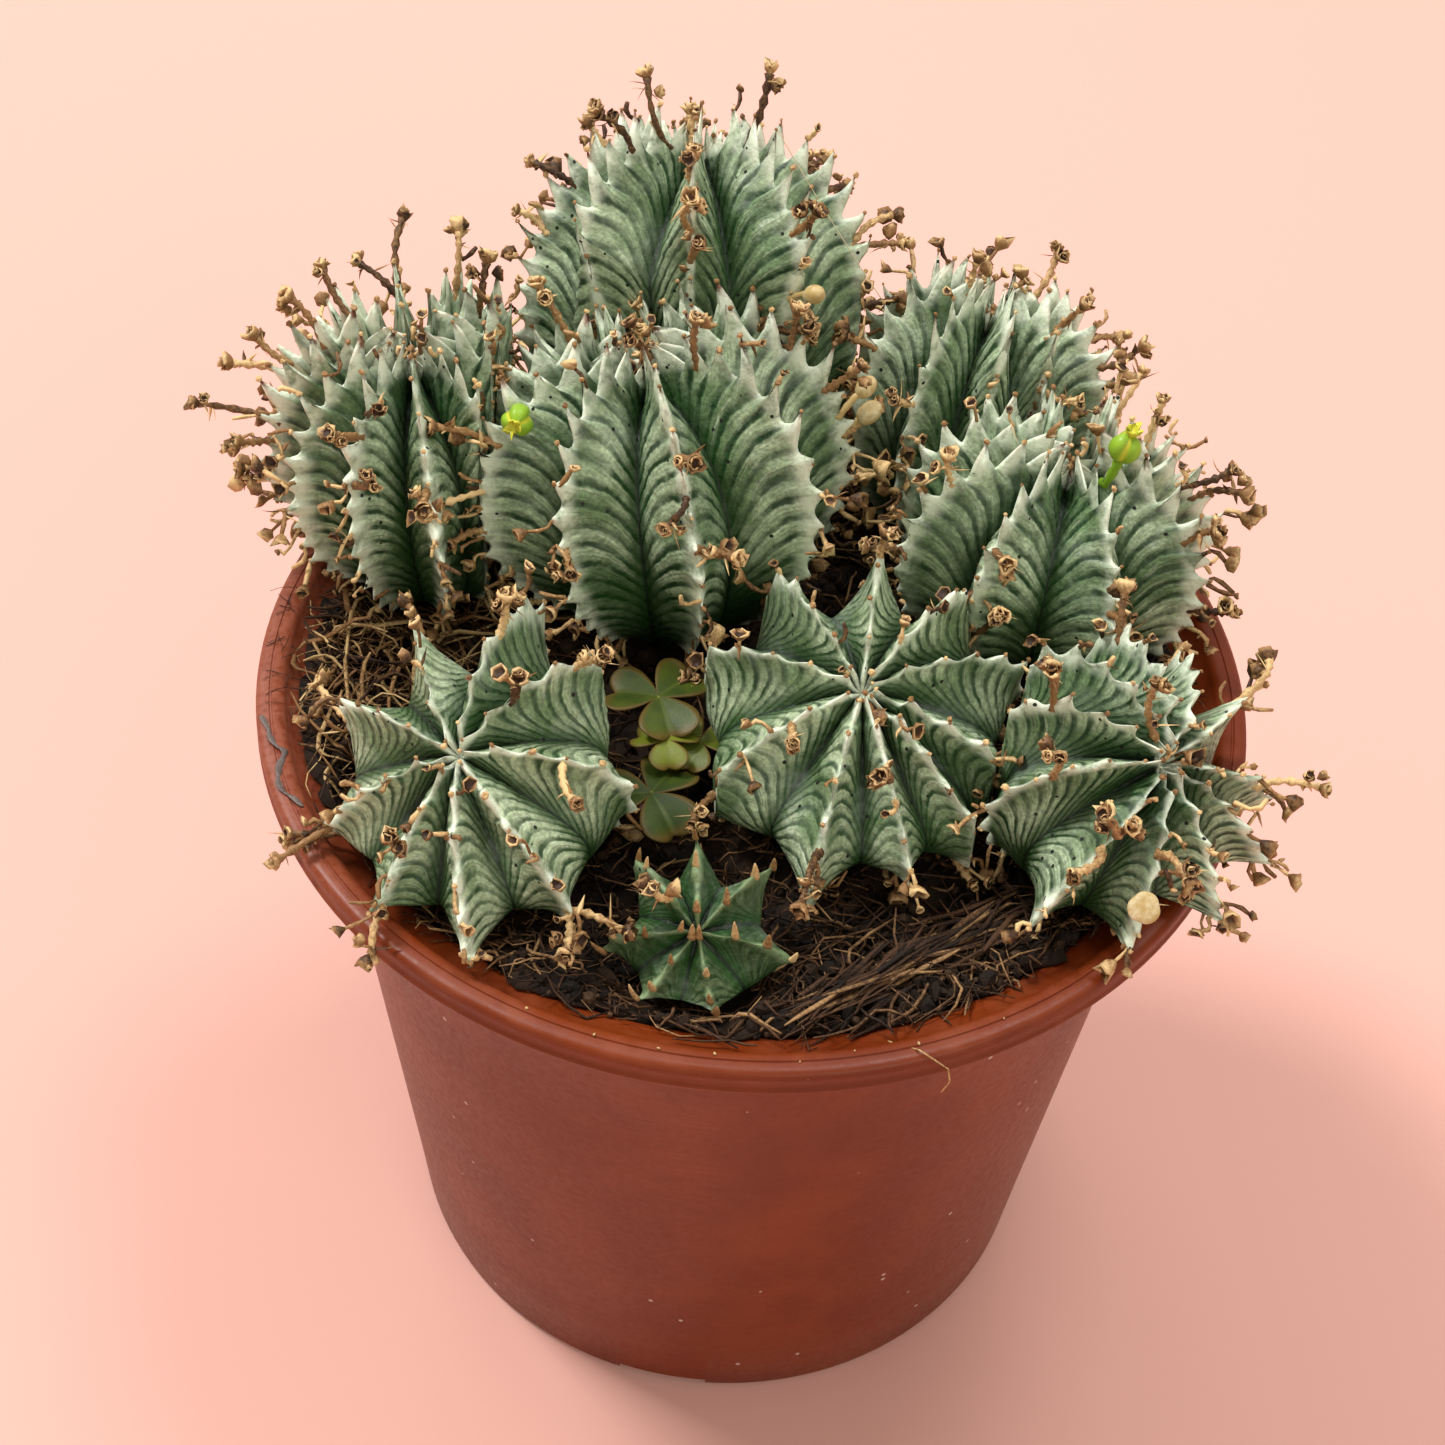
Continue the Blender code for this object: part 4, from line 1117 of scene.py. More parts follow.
# Dried stalks, each as (direction of its rib, rise on the crest, degrees that it turns aside,
# degrees that it lifts, length in millimetres)
STALKS = {
    "stem_1": (
        (105, 0.60, -20, 50, 18), (76, 0.65, 0, 60, 14), (163, 0.65, -10, 60, 12),
        (163, 0.50, 0, 10, 13), (192, 0.50, 0, 30, 17), (250, 0.60, 0, 40, 12),
        (163, 0.55, 10, 40, 10), (192, 0.45, 20, 20, 7), (250, 0.65, 50, 40, 13),
        (281, 0.50, -10, 20, 10), (47, 0.70, 0, 70, 12), (105, 0.60, 50, 40, 11),
        (134, 0.65, 0, 50, 12), (250, 0.50, 60, 30, 9), (192, 0.35, -10, 20, 7),
    ),
    "stem_2": (
        (220, 0.80, 0, 70, 16), (357, 0.80, -40, 70, 18), (220, 0.70, 0, 50, 13),
        (182, 0.60, 0, 30, 10), (268, 0.55, 0, 40, 13), (357, 0.50, 20, 40, 11),
        (313, 0.55, 0, 40, 8), (220, 0.90, 0, 90, 8), (182, 0.70, 0, 50, 8),
        (182, 0.50, 0, 40, 7), (268, 0.65, 0, 60, 7), (268, 0.50, 10, 30, 12),
        (38, 0.60, 0, 40, 8), (38, 0.55, 0, 20, 10), (357, 0.50, 0, 10, 10),
        (313, 0.40, 0, 20, 8), (313, 0.33, -10, 10, 9), (357, 0.40, 20, 10, 8),
    ),
    "stem_3": (
        (285, 0.80, -30, 70, 12), (328, 0.75, 0, 80, 10), (243, 0.40, 40, 10, 10),
        (285, 0.50, -30, 0, 11), (119, 0.35, -20, 10, 10), (148, 0.70, 0, 70, 15),
        (207, 0.55, 0, 40, 14), (207, 0.45, 10, 10, 12), (207, 0.15, 0, 60, 12),
        (207, 0.15, -10, 10, 6), (207, 0.35, 10, 10, 7), (38, 0.60, 0, 40, 10),
        (6, 0.60, 0, 70, 9), (38, 0.40, 0, 0, 9), (285, 0.55, 10, 30, 11),
        (285, 0.40, 30, 20, 12), (38, 0.20, 20, 10, 9), (6, 0.40, 0, 40, 7),
        (6, 0.50, 0, 30, 8), (6, 0.30, 10, 10, 8), (38, 0.50, 0, 20, 9),
    ),
    "stem_4": (
        (56, 0.65, 0, 60, 14), (310, 0.65, 0, 60, 11), (198, 0.80, 0, 90, 10),
        (346, 0.55, 0, 40, 11), (91, 0.40, 0, 0, 11), (198, 0.50, 0, 20, 8),
        (235, 0.45, 0, 20, 8), (21, 0.55, 0, 20, 8), (310, 0.50, 0, 10, 10),
    ),
    "stem_5": (
        (65, 0.60, -10, 40, 13), (35, 0.65, 10, 80, 11), (5, 0.60, 0, 30, 10),
        (235, 0.55, 40, 30, 10), (288, 0.45, 0, 20, 9), (5, 0.55, -20, 30, 10),
        (332, 0.55, 0, 50, 7), (198, 0.60, 0, 70, 8), (235, 0.30, 60, 60, 16),
        (198, 0.40, 0, 20, 8), (332, 0.35, 10, 20, 8),
    ),
    "stem_6": (
        (85, 0.60, -10, 60, 6), (212, 0.75, 60, 50, 11), (258, 0.60, 0, 40, 18),
        (288, 0.70, -40, 70, 11), (52, 0.55, -10, 40, 11), (22, 0.30, 10, 10, 7),
        (122, 0.35, -30, -10, 10), (312, 0.20, -10, 0, 7), (161, 0.25, 0, 40, 8),
        (336, 0.45, -10, 30, 6), (212, 0.40, 30, 20, 9),
    ),
    "stem_7": (
        (198, 0.45, 20, 10, 12), (150, 0.40, -20, 0, 10), (306, 0.40, -30, 20, 10),
        (240, 0.70, 0, 80, 6), (113, 0.45, 0, 20, 8), (41, 0.75, 0, 60, 6),
        (355, 0.65, -60, 40, 14), (75, 0.65, -20, 50, 7), (41, 0.60, -60, 50, 11),
        (306, 0.40, 30, 10, 12), (240, 0.30, 20, 0, 11), (198, 0.30, -10, 10, 11),
    ),
    "stem_8": (
        (131, 0.75, 50, 70, 8),
    ),
    "stem_9": (
        (46, 0.55, 20, 30, 11), (8, 0.60, -10, 50, 12), (131, 0.85, 0, 40, 11),
        (242, 0.65, -20, 30, 12), (273, 0.70, 0, 60, 11), (242, 0.70, -60, 50, 13),
        (242, 0.70, -40, 70, 9), (198, 0.60, -10, 60, 14), (162, 0.60, 0, 60, 13),
        (341, 0.20, 10, 20, 9), (103, 0.55, 0, 30, 9),
    ),
}
# Fruits on their stalks, in the same way, and the radius of each
FRUITS = (
    ("stem_3", (207, 0.63, 60, 10, 5), 3.3), ("stem_5", (332, 0.80, 0, 80, 10), 3.3),
    ("stem_3", (177, 0.25, 60, 20, 6), 1.5),
)
# Capsules and a fallen petal, also with their height as a share of their width
CAPSULES = (
    ("stem_2", (313, 0.45, 0, 20, 7), 2.0, 1.35), ("stem_3", (6, 0.40, 0, 40, 7), 2.2, 1.4),
    ("stem_3", (6, 0.44, 30, 30, 8), 2.0, 1.3), ("stem_9", (273, 0.60, -50, 50, 12), 3.0, 0.22),
)
# The strand that hangs over the rim, point by point
RIM_STRAND = (
    (24.0, -83.0, 151.0), (28.5, -88.5, 156.0), (33.0, -92.5, 159.7), (36.5, -95.0, 159.6),
    (38.2, -95.4, 158.6), (39.0, -94.8, 154.0), (38.0, -93.6, 149.0),
)
# Grains on the rim, as (direction in degrees, distance from the middle)
RIM_GRIT = (
    (262.0, 96.2), (268.0, 95.8), (277.0, 97.0), (283.0, 95.6),
    (290.0, 96.4), (255.0, 96.5), (247.0, 96.0), (300.0, 96.8),
)
# A dried snail trail on the rim, from above
RIM_TRAIL = (
    (-96.3, -21.3), (-94.6, -24.4), (-93.6, -27.0), (-92.1, -29.0), (-90.6, -29.9),
    (-90.4, -32.0), (-90.7, -35.2), (-90.2, -38.3), (-88.8, -40.7), (-86.9, -41.9),
    (-84.8, -44.0),
)


def separating_planes(name: str) -> list[tuple[Vector, Vector]]:
    """The half-spaces that hold one stem or the weed.

    Args:
        name: The stem's name, or weed.

    Returns:
        A point and an outward normal for each neighbour.
    """
    middles = {stem.name: stem.middle() for stem in STEMS}
    middles["weed"] = Vector((*WEED_BASE, SOIL_LEVEL + WEED_MIDDLE_HEIGHT))
    planes = []
    for first, second, share, tilt in NEIGHBOURS:
        if name not in (first, second):
            continue
        near, far = middles[first], middles[second]
        normal = Vector((far.x - near.x, far.y - near.y, 0.0)).normalized()
        across = normal.cross(Vector(UP))
        normal = Matrix.Rotation(math.radians(tilt), 3, across) @ normal
        planes.append((near.lerp(far, share), normal if name == first else -normal))
    return planes


def kept_clear(centre: np.ndarray, point: np.ndarray,
               planes: Sequence[tuple[Vector, Vector]]) -> np.ndarray:
    """Lifts points off the soil and the rim and draws them in from the neighbours' space.

    Args:
        centre: The middle line's point for each of them.
        point: The points.
        planes: The planes of separating_planes.

    Returns:
        The points in their own stem's space.
    """
    point = point.copy()
    away = np.hypot(point[..., 0], point[..., 1])
    floor = SOIL_LEVEL + RIB_CLEARANCE + OVERHANG_SLOPE * np.maximum(away - OVERHANG_START, 0.0)
    above = (point[..., 2] - np.minimum(floor, OVERHANG_LEVEL)) / LIFT_SOFTNESS
    point[..., 2] += LIFT_SOFTNESS * (np.logaddexp(0.0, above) - above)
    reach = point - centre
    share = np.ones(reach.shape[:-1])
    for middle, normal in planes:
        room = np.maximum((np.array(middle) - centre) @ np.array(normal) - 0.5 * GAP, 0.5)
        outward = reach @ np.array(normal)
        share = np.where(outward * share > room, room / np.maximum(outward, 1e-6), share)
    return centre + reach * share[..., None]


@dataclass
class StemBody:
    """The fine skin of one stem: ribs, teeth, growth ridges and the marks for its finish."""

    stem: Stem
    finish: bpy.types.Material
    seed: int
    # Columns from a crest to the valley, as shares of the way
    half_columns: tuple[float, ...] = (0.0, 0.035, 0.085, 0.15, 0.24, 0.36, 0.50, 0.66, 0.82, 0.94)
    rows_per_tooth: int = 8
    top_rows: int = 8
    foot_rows: int = 4
    # How many columns from a crest the foot of a tooth is read, for the way it points
    flank_columns: int = 4
    crest_pinch: float = 0.14
    # Teeth: reach on the flank and near the top, width, and where they start and end
    tooth_out: float = 3.3
    tooth_top: float = 8.4
    tooth_width: float = 1.0
    first_tooth: float = 0.07
    last_tooth: float = 0.95
    # A tooth's size by chance, how far a rib is out of step, and how far a tip turns aside
    chances: tuple[float, float] = (0.72, 1.22)
    out_of_step: float = 0.22
    every_other: float = 0.25
    tip_turn: float = 0.9
    # Teeth drawn beyond the last, for the rows above it
    spare_teeth: int = 4
    # The larger top teeth: where they begin, how soon they are full size, and a star's share
    top_start: float = 0.46
    top_growth: float = 0.26
    star_top: float = 0.42
    # Growth ridges: depth, how they bend down and up across a flank, and how they waver
    ridge: float = 0.24
    band_fall: float = 3.0
    band_rise: float = 0.7
    band_waver: float = 0.30
    waver_size: float = 11.0
    # Growth bands for each tooth and the width of the pale crest, on older growths and on stars
    bands_per_tooth: tuple[float, float] = (1.35, 2.0)
    crest_widths: tuple[float, float] = (2.5, 1.6)
    lump: float = 0.55
    lump_size: float = 9.0
    # The tip of every tooth and where it points, once the skin is built
    tips: np.ndarray = field(default_factory=lambda: np.zeros((0, 3)))
    tip_headings: np.ndarray = field(default_factory=lambda: np.zeros((0, 3)))

    def rib_weight(self, off: np.ndarray, rise: np.ndarray) -> np.ndarray:
        """How far out the skin is between valley (0) and crest (1).

        Args:
            off: The place between crest (0) and valley (1) of every column.
            rise: The place between foot (0) and tip (1) of every row.

        Returns:
            The weights, by row and column.
        """
        pinch = self.crest_pinch
        off = off[None, :]
        flank = 1.0 - off**1.15
        if self.stem.growth is Growth.STAR:
            top = np.clip((rise - 0.60) / 0.25, 0.0, 1.0)[:, None]
            hollow = (1.0 - off)**1.35
            flank = hollow + (1.0 - off**2.0 - hollow) * top
        return pinch * (1.0 - off)**6 + (1.0 - pinch) * flank

    def build(self) -> None:
        """Builds the skin as a piece that stands for the stem's solid."""
        stem = self.stem
        ribs = stem.sorted_ribs()
        half = self.half_columns
        places = [off / 2 for off in half] + [0.5] + [1.0 - off / 2 for off in half[:0:-1]]
        columns = len(places) * len(ribs)
        skin_rows = self.rows_per_tooth * stem.teeth + self.top_rows
        levels = skin_rows + self.foot_rows
        shape, level, angle = ball(columns, levels)
        mesh = mesh_of(stem.name + "_skin", shape)
        column = np.rint(angle / math.tau * columns).astype(int) % columns
        points, marks = self.skin(ribs, np.array(places), skin_rows)
        row = np.clip(level - self.foot_rows - 1, 0, skin_rows)
        placed = points[row, column]
        foot = level <= self.foot_rows
        placed[foot] = self.foot_points(points[0], level[foot], column[foot])
        # The sphere's top pole takes the mean of the last row
        placed[level == levels + 1] = points[skin_rows].mean(axis=0)
        for name, values in marks.items():
            held = values[row, column]
            if name in ("crest", "tip", "rise"):
                held = np.where(foot, 0.0, held)
            set_mark(mesh, name, held)
        set_points(mesh, placed)
        add_piece(stem.name + "_flesh", mesh, self.finish, "flesh", stem.name)

    def crest_rows(self, rows: int) -> tuple[np.ndarray, ...]:
        """Spaces the skin's rows evenly along the crest.

        Args:
            rows: How many rows the skin has above its first.

        Returns:
            The rows' shares of the crest's length and of its profile, the crest's and the
            valley's profile on each row, and the crest's own direction there.
        """
        size = self.stem.radius, self.stem.length
        crest, valley = PROFILES[self.stem.growth]
        fine = np.linspace(0.0, 1.0, 400)
        line = smooth_curve(crest, fine) * size
        arc = np.concatenate(([0.0], np.cumsum(np.hypot(*np.diff(line, axis=0).T))))
        along = np.linspace(0.0, 1.0, rows + 1)
        rise = np.interp(along, arc / arc[-1], fine)
        outer = smooth_curve(crest, rise)
        run = np.gradient(outer * size, axis=0)
        run /= np.maximum(np.hypot(run[:, 0], run[:, 1]), 1e-6)[:, None]
        return along, rise, outer, smooth_curve(valley, rise), run

    def tooth_outline(self, frac: np.ndarray, low_size: np.ndarray, high_size: np.ndarray,
                      top: np.ndarray) -> np.ndarray:
        """Works out the outline of the teeth along a crest, concave between sharp tips.

        Args:
            frac: The place between the tooth below (0) and the one above (1).
            low_size: The size of the tooth below.
            high_size: The size of the tooth above.
            top: From 0 on the flank to 1 near the tip, where the teeth are slimmer.

        Returns:
            How far out the outline is, 1 at the tip of a tooth of common size.
        """
        sharp = 6.0 - 1.2 * top
        base = 0.28 - 0.11 * top
        below = (base * (1.0 - frac)**1.7 + (1.0 - base) * (1.0 - frac)**sharp) * low_size
        base = 0.86 * base
        above = (base * frac**1.9 + (1.0 - base) * frac**(sharp + 1.0)) * high_size
        return (below**3 + above**3)**(1.0 / 3.0)

    def lumpy(self, point: np.ndarray, size: float, seed: int) -> np.ndarray:
        """Smooth noise from -1 to 1 at the skin's points, by row and column."""
        return lumps(point.reshape(-1, 3), size, seed).reshape(point.shape[:2])

    def relief(self, point: np.ndarray, band: np.ndarray, spread: np.ndarray, off: np.ndarray,
               along: np.ndarray) -> np.ndarray:
        """Works out the growth ridges and lumps, along the skin's own normal.

        Args:
            point: The skin's points, by row and column.
            band: The count of growth bands at each of them.
            spread: Its distance from the crest, in millimetres.
            off: The place between crest (0) and valley (1) of every column.
            along: The place between foot (0) and tip (1) of every row.

        Returns:
            How far each point moves, along each axis.
        """
        groove = np.exp(-((band - np.floor(band) - 0.5) / 0.15)**2)
        depth = np.clip(spread / 3.0 - 0.25, 0.0, 1.0) * (1.0 - 0.45 * off[None, :]**4)
        depth = depth * np.clip((0.96 - along) / 0.12, 0.0, 1.0)[:, None]
        bulge = self.lump * self.lumpy(point, self.lump_size, self.seed + 5)
        bulge = bulge * np.clip((1.0 - along) / 0.15, 0.0, 1.0)[:, None]
        ahead = np.gradient(point, axis=0)
        aside = np.roll(point, -1, axis=1) - np.roll(point, 1, axis=1)
        return unit(np.cross(aside, ahead)) * (bulge - self.ridge * groove * depth)[..., None]

    def skin(self, ribs: list[tuple[float, float]], places: np.ndarray,
             rows: int) -> tuple[np.ndarray, dict[str, np.ndarray]]:
        """Works out the skin's points and its marks, row by row and column by column.

        Args:
            ribs: The ribs in order.
            places: The columns of one rib, as shares of the way to the next.
            rows: How many rows the skin has above its first.

        Returns:
            The points in millimetres, and the marks by name.
        """
        stem = self.stem
        rng = np.random.default_rng(self.seed)
        star = stem.growth is Growth.STAR
        count = len(ribs)
        along, rise, outer, inner, run = self.crest_rows(rows)
        normal = np.stack((run[:, 1], -run[:, 0]), axis=1)
        # Columns
        rib = np.repeat(np.arange(count), len(places))
        part = np.tile(places, count)
        near = np.where(part < 0.5, rib, (rib + 1) % count)
        off = 2.0 * np.minimum(part, 1.0 - part)
        angles = np.array([direction for direction, _ in ribs])
        shares = np.array([share for _, share in ribs])
        gap = (np.roll(angles, -1) - angles) % 360.0
        direction = np.radians(angles[rib] + gap[rib] * part)
        share = shares[rib] + (np.roll(shares, -1)[rib] - shares[rib]) * part
        weight = self.rib_weight(off, rise)
        radius = inner[:, :1] + (outer[:, :1] * share - inner[:, :1]) * weight
        height = inner[:, 1:] + (outer[:, 1:] - inner[:, 1:]) * weight
        radius = radius * stem.radius
        height = height * stem.length
        spread = np.radians(gap[rib]) / 2 * off * np.maximum(outer[:, :1] * stem.radius, 1.0)
        # Teeth, each rib a little out of step with the next
        phase = rng.uniform(-self.out_of_step, self.out_of_step, count)
        phase = phase + self.every_other * (np.arange(count) % 2)
        span = (along - self.first_tooth) / (self.last_tooth - self.first_tooth) * stem.teeth
        place = span[:, None] + phase[near][None, :]
        lower = np.floor(place).astype(int)
        frac = place - lower
        drawn = stem.teeth + self.spare_teeth
        chance = rng.uniform(*self.chances, (count, drawn))
        sizes = (chance[near[None, :], np.clip(lower + step, 0, drawn - 1)] for step in (1, 2))
        top = np.clip((along - self.top_start) / self.top_growth, 0.0, 1.0)
        top = top * np.clip((1.0 - along) / 0.10, 0.35, 1.0)
        window = np.clip(along / 0.10, 0.0, 1.0) * np.clip((0.985 - along) / 0.05, 0.0, 1.0)
        tooth = self.tooth_outline(frac, *sizes, top[:, None]) * window[:, None]
        top_size = self.tooth_top * (self.star_top if star else 1.0)
        small = min(1.0, max(0.75, stem.radius / 26.0))
        low = self.tooth_out * np.clip(0.55 + along, 0.0, 1.0)
        reach = (low + (top_size - low) * top)[:, None] * small
        cone = np.exp(-(spread / (self.tooth_width * small * (1.6 - 0.9 * tooth)))**1.4)
        out = reach * tooth * cone
        lean = 0.38 * reach * tooth**2 * cone
        swell = 0.9 * small * np.exp(-((frac - 0.16) / 0.14)**2) * np.exp(-(spread / 2.4)**2)
        swell = swell * window[:, None]
        radius += (out + swell) * normal[:, :1] + lean * run[:, :1]
        height += (out + swell) * normal[:, 1:] + lean * run[:, 1:]
        twist = rng.uniform(-self.tip_turn, self.tip_turn, (count, drawn))
        turn = twist[near[None, :], np.clip(lower + 1 + (frac > 0.5), 0, drawn - 1)]
        angle = direction[None, :] + turn * tooth**2 * cone / np.maximum(radius, 4.0)
        radius = np.maximum(radius, 0.0)
        centre, point = stem.placed(angle, radius, height)
        # Growth bands, in step with the teeth at the crests
        wave = phase[rib] + (np.roll(phase, -1)[rib] - phase[rib]) * (3 * part**2 - 2 * part**3)
        arc = self.band_fall * off**2 - self.band_rise * off
        band = self.bands_per_tooth[star] * (span[:, None] + (wave + arc)[None, :])
        band = band + self.band_waver * self.lumpy(point, self.waver_size, self.seed)
        point = point + self.relief(point, band, spread, off, along)
        point = kept_clear(centre, point, separating_planes(stem.name))
        self.keep_tips(tooth[:, ::len(places)], point, len(places))
        from_valley = (1.0 - off)[None, :] * np.radians(gap[rib])[None, :] / 2 * radius
        # The pale wax sits in beads round the teeth
        bead = np.exp(-(np.minimum(frac, 1.0 - frac) / 0.30)**2)
        crest_width = self.crest_widths[star] * (1.0 - 0.58 * top[:, None])
        marks = {
            "crest": np.exp(-(spread / crest_width)**1.4) * (0.64 + 0.36 * bead),
            "furrow": np.exp(-(from_valley / 1.6)**1.1),
            "band": band,
            "across": np.broadcast_to(rib + part, band.shape),
            "rise": np.repeat(along[:, None], len(rib), axis=1),
            "tip": np.clip(tooth * cone, 0.0, 1.0),
        }
        return point, marks

    def keep_tips(self, tooth: np.ndarray, point: np.ndarray, step: int) -> None:
        """Keeps the tip of every tooth and where it points, for the dried bits on them.

        Args:
            tooth: The teeth's outline on the crests, by row and rib.
            point: The skin's points, by row and column.
            step: How many columns a rib has.
        """
        peak = (tooth[1:-1] > tooth[:-2]) & (tooth[1:-1] >= tooth[2:]) & (tooth[1:-1] > 0.5)
        row, rib = np.nonzero(peak)
        row, column = row + 1, rib * step
        self.tips = point[row, column]
        aside = self.flank_columns
        flank = 0.5 * (point[row, column - aside] + point[row, column + aside])
        self.tip_headings = unit(self.tips - flank)

    def foot_points(self, first: np.ndarray, level: np.ndarray,
                    column: np.ndarray) -> np.ndarray:
        """The smooth foot, from a point under the soil up to the skin's first row.

        Args:
            first: The skin's first row of points.
            level: The ring of each point, from 0 at the pole.
            column: The column of each point.

        Returns:
            The points.
        """
        stem = self.stem
        radius = np.array((0.0, stem.foot - 0.6, stem.foot, stem.foot, stem.foot + 0.6))[level]
        depth = np.array((-7.0, -7.0, -6.2, 1.4, 1.9))[level]
        towards = first[column, :2] - stem.base
        towards /= np.maximum(np.hypot(towards[:, 0], towards[:, 1]), 1e-6)[:, None]
        flat = stem.base + towards * radius[:, None]
        return np.column_stack((flat, SOIL_LEVEL + depth))


@dataclass(frozen=True)
class Sprig:
    """A stalk's foot on its crest and the way that it heads."""

    foot: np.ndarray
    outward: np.ndarray
    heading: np.ndarray
    length: float

    @classmethod
    def on(cls, stem: Stem, place: Sequence[float]) -> "Sprig":
        """Finds a stalk's place on a stem.

        Args:
            stem: The stem.
            place: The rib's direction, the rise, the turn aside, the lift and the length.

        Returns:
            The sprig.
        """
        rib_direction, rise, side, lift, length = place
        ribs = stem.sorted_ribs()
        direction, share = min(ribs, key=lambda rib: abs(rib[0] - rib_direction))
        radius, height = smooth_curve(PROFILES[stem.growth][0], np.array([rise]))[0]
        radius = radius * share * stem.radius
        height = height * stem.length
        turn = math.radians(direction)
        centre, point = stem.placed(np.array([turn]), np.array([radius]), np.array([height]))
        point = kept_clear(centre, point, separating_planes(stem.name))[0]
        tilt = np.array(stem.frame(height)[1])
        outward = tilt @ (math.cos(turn), math.sin(turn), 0.0)
        upward = tilt @ UP
        side, lift = math.radians(side), math.radians(lift)
        level = outward * math.cos(side) + np.cross(upward, outward) * math.sin(side)
        return cls(point, outward, level * math.cos(lift) + upward * math.sin(lift), length)

    def path(self, rings: int, sink: float, sag: float, bend: np.ndarray) -> np.ndarray:
        """The middle line, from under the skin to the head.

        Args:
            rings: How many points it has.
            sink: How deep its root lies.
            sag: How fast it sinks, in millimetres per square millimetre.
            bend: How far its middle is pushed aside.

        Returns:
            The points.
        """
        along = np.linspace(0.0, 1.0, rings - 1)[:, None]
        line = self.foot + self.heading * self.length * along
        line = line + bend * np.sin(math.pi * along)
        line[:, 2] -= sag * (self.length * along[:, 0])**2
        return np.vstack((self.foot - self.outward * sink, line))


@dataclass
class DriedFlowers:
    """A stem's dried flower stalks, with their cups and curled bracts, and bits on its teeth."""

    body: StemBody
    finish: bpy.types.Material
    rng: np.random.Generator
    claws: bool = False
    stalk_radius: float = 0.62
    rings: int = 12
    # How many of the stalks have a second and a third head, and how many bracts each has
    more_heads: tuple[float, float] = (0.8, 0.55)
    bracts: int = 4
    # Stubs for each low and each high tooth, and how many have a bud and a curled scrap
    low_stubs: float = 1.65
    young_low_stubs: float = 1.25
    high_stubs: float = 0.3
    bud_share: float = 0.62
    curl_share: float = 0.55
    # Where a claw heads inward to, above the soil
    claw_aim: float = 40.0

    def add(self, mesh: bpy.types.Mesh) -> None:
        """Adds a mesh as a piece of the stem."""
        add_piece(mesh.name, mesh, self.finish, "flesh", self.body.stem.name)

    def build(self) -> None:
        """Builds the stalks, the cups, the bracts and the knobs or claws."""
        rng = self.rng
        name = self.body.stem.name
        sprigs = [Sprig.on(self.body.stem, place) for place in STALKS[name]]
        paths = np.array([
            sprig.path(self.rings, 1.5, 0.006, rng.normal(0.0, 0.06, 3) * sprig.length)
            for sprig in sprigs])
        nub = np.where(np.arange(self.rings) % 2, 1.45, 0.85)
        radii = self.stalk_radius * nub * rng.uniform(0.85, 1.25, (len(sprigs), self.rings))
        self.add(tubes(name + "_stalks", paths, radii, rng.uniform(0.1, 1.0, len(sprigs)), 6))
        ends = paths[:, -1]
        self.add_heads(ends, unit(ends - paths[:, -3]))
        if self.claws:
            self.add_claws()
        else:
            self.add_bits()

    def add_heads(self, ends: np.ndarray, ahead: np.ndarray) -> None:
        """Adds a cluster of cups and bracts to the end of every stalk.

        Args:
            ends: The stalks' ends.
            ahead: Where each stalk points.
        """
        rng = self.rng
        name = self.body.stem.name
        places, headings, sizes = [ends], [ahead], [rng.uniform(1.2, 1.8, len(ends))]
        for share in self.more_heads:
            some = rng.uniform(size=len(ends)) < share
            offset = unit(rng.normal(size=(len(ends), 3)) + 0.3 * ahead)
            places.append((ends - 1.3 * ahead + offset * 1.9)[some])
            headings.append(unit(ahead * 0.5 + offset)[some])
            sizes.append(rng.uniform(0.9, 1.6, some.sum()))
        self.add(self.rolled(name + "_heads", np.concatenate(places), np.concatenate(headings),
                             np.concatenate(sizes)))
        many = np.repeat(np.arange(len(ends)), self.bracts)
        spread = unit(rng.normal(size=(len(many), 3)) + 0.3 * ahead[many])
        base = ends[many] - ahead[many] * rng.uniform(0.5, 3.0, (len(many), 1))
        self.add_curls(name + "_bracts", base, spread, rng.uniform(2.0, 4.4, len(many)), 0.55)

    def rolled(self, label: str, places: np.ndarray, headings: np.ndarray,
               sizes: np.ndarray) -> bpy.types.Mesh:
        """Makes flower heads, each of three cups rolled into one another.

        Args:
            label: The mesh's name.
            places: The foot of each head.
            headings: Where each opens to.
            sizes: The radius of each.

        Returns:
            The mesh.
        """
        layers = ((1.0, 0.0, 0.12), (0.66, 0.50, 0.30), (0.36, 0.95, 0.40))
        place, heading, size = [], [], []
        for scale, lift, tilt in layers:
            turned_off = unit(headings + self.rng.normal(0.0, tilt, headings.shape))
            place.append(places + turned_off * (lift * sizes)[:, None])
            heading.append(turned_off)
            size.append(scale * sizes)
        return cups(label, np.concatenate(place), np.concatenate(heading),
                    np.concatenate(size), self.rng)

    def add_curls(self, label: str, base: np.ndarray, spread: np.ndarray, length: np.ndarray,
                  width: float) -> None:
        """Adds flat curled scraps.

        Args:
            label: The piece's name.
            base: Where each starts.
            spread: Where each heads.
            length: How long each is.
            width: Half of their greatest width.
        """
        rng = self.rng
        along = along_path(6)
        curl = unit(rng.normal(size=base.shape))[:, None] * 0.45
        reach = length[:, None, None]
        paths = base[:, None] + reach * (spread[:, None] * along + curl * along**2)
        profile = np.array((0.45, 0.85, 1.0, 0.8, 0.45, 0.1)) * width
        radii = profile * rng.uniform(0.6, 1.2, (len(base), 1))
        self.add(tubes(label, paths, radii, rng.uniform(0.1, 1.2, len(base)), 4, 0.28))

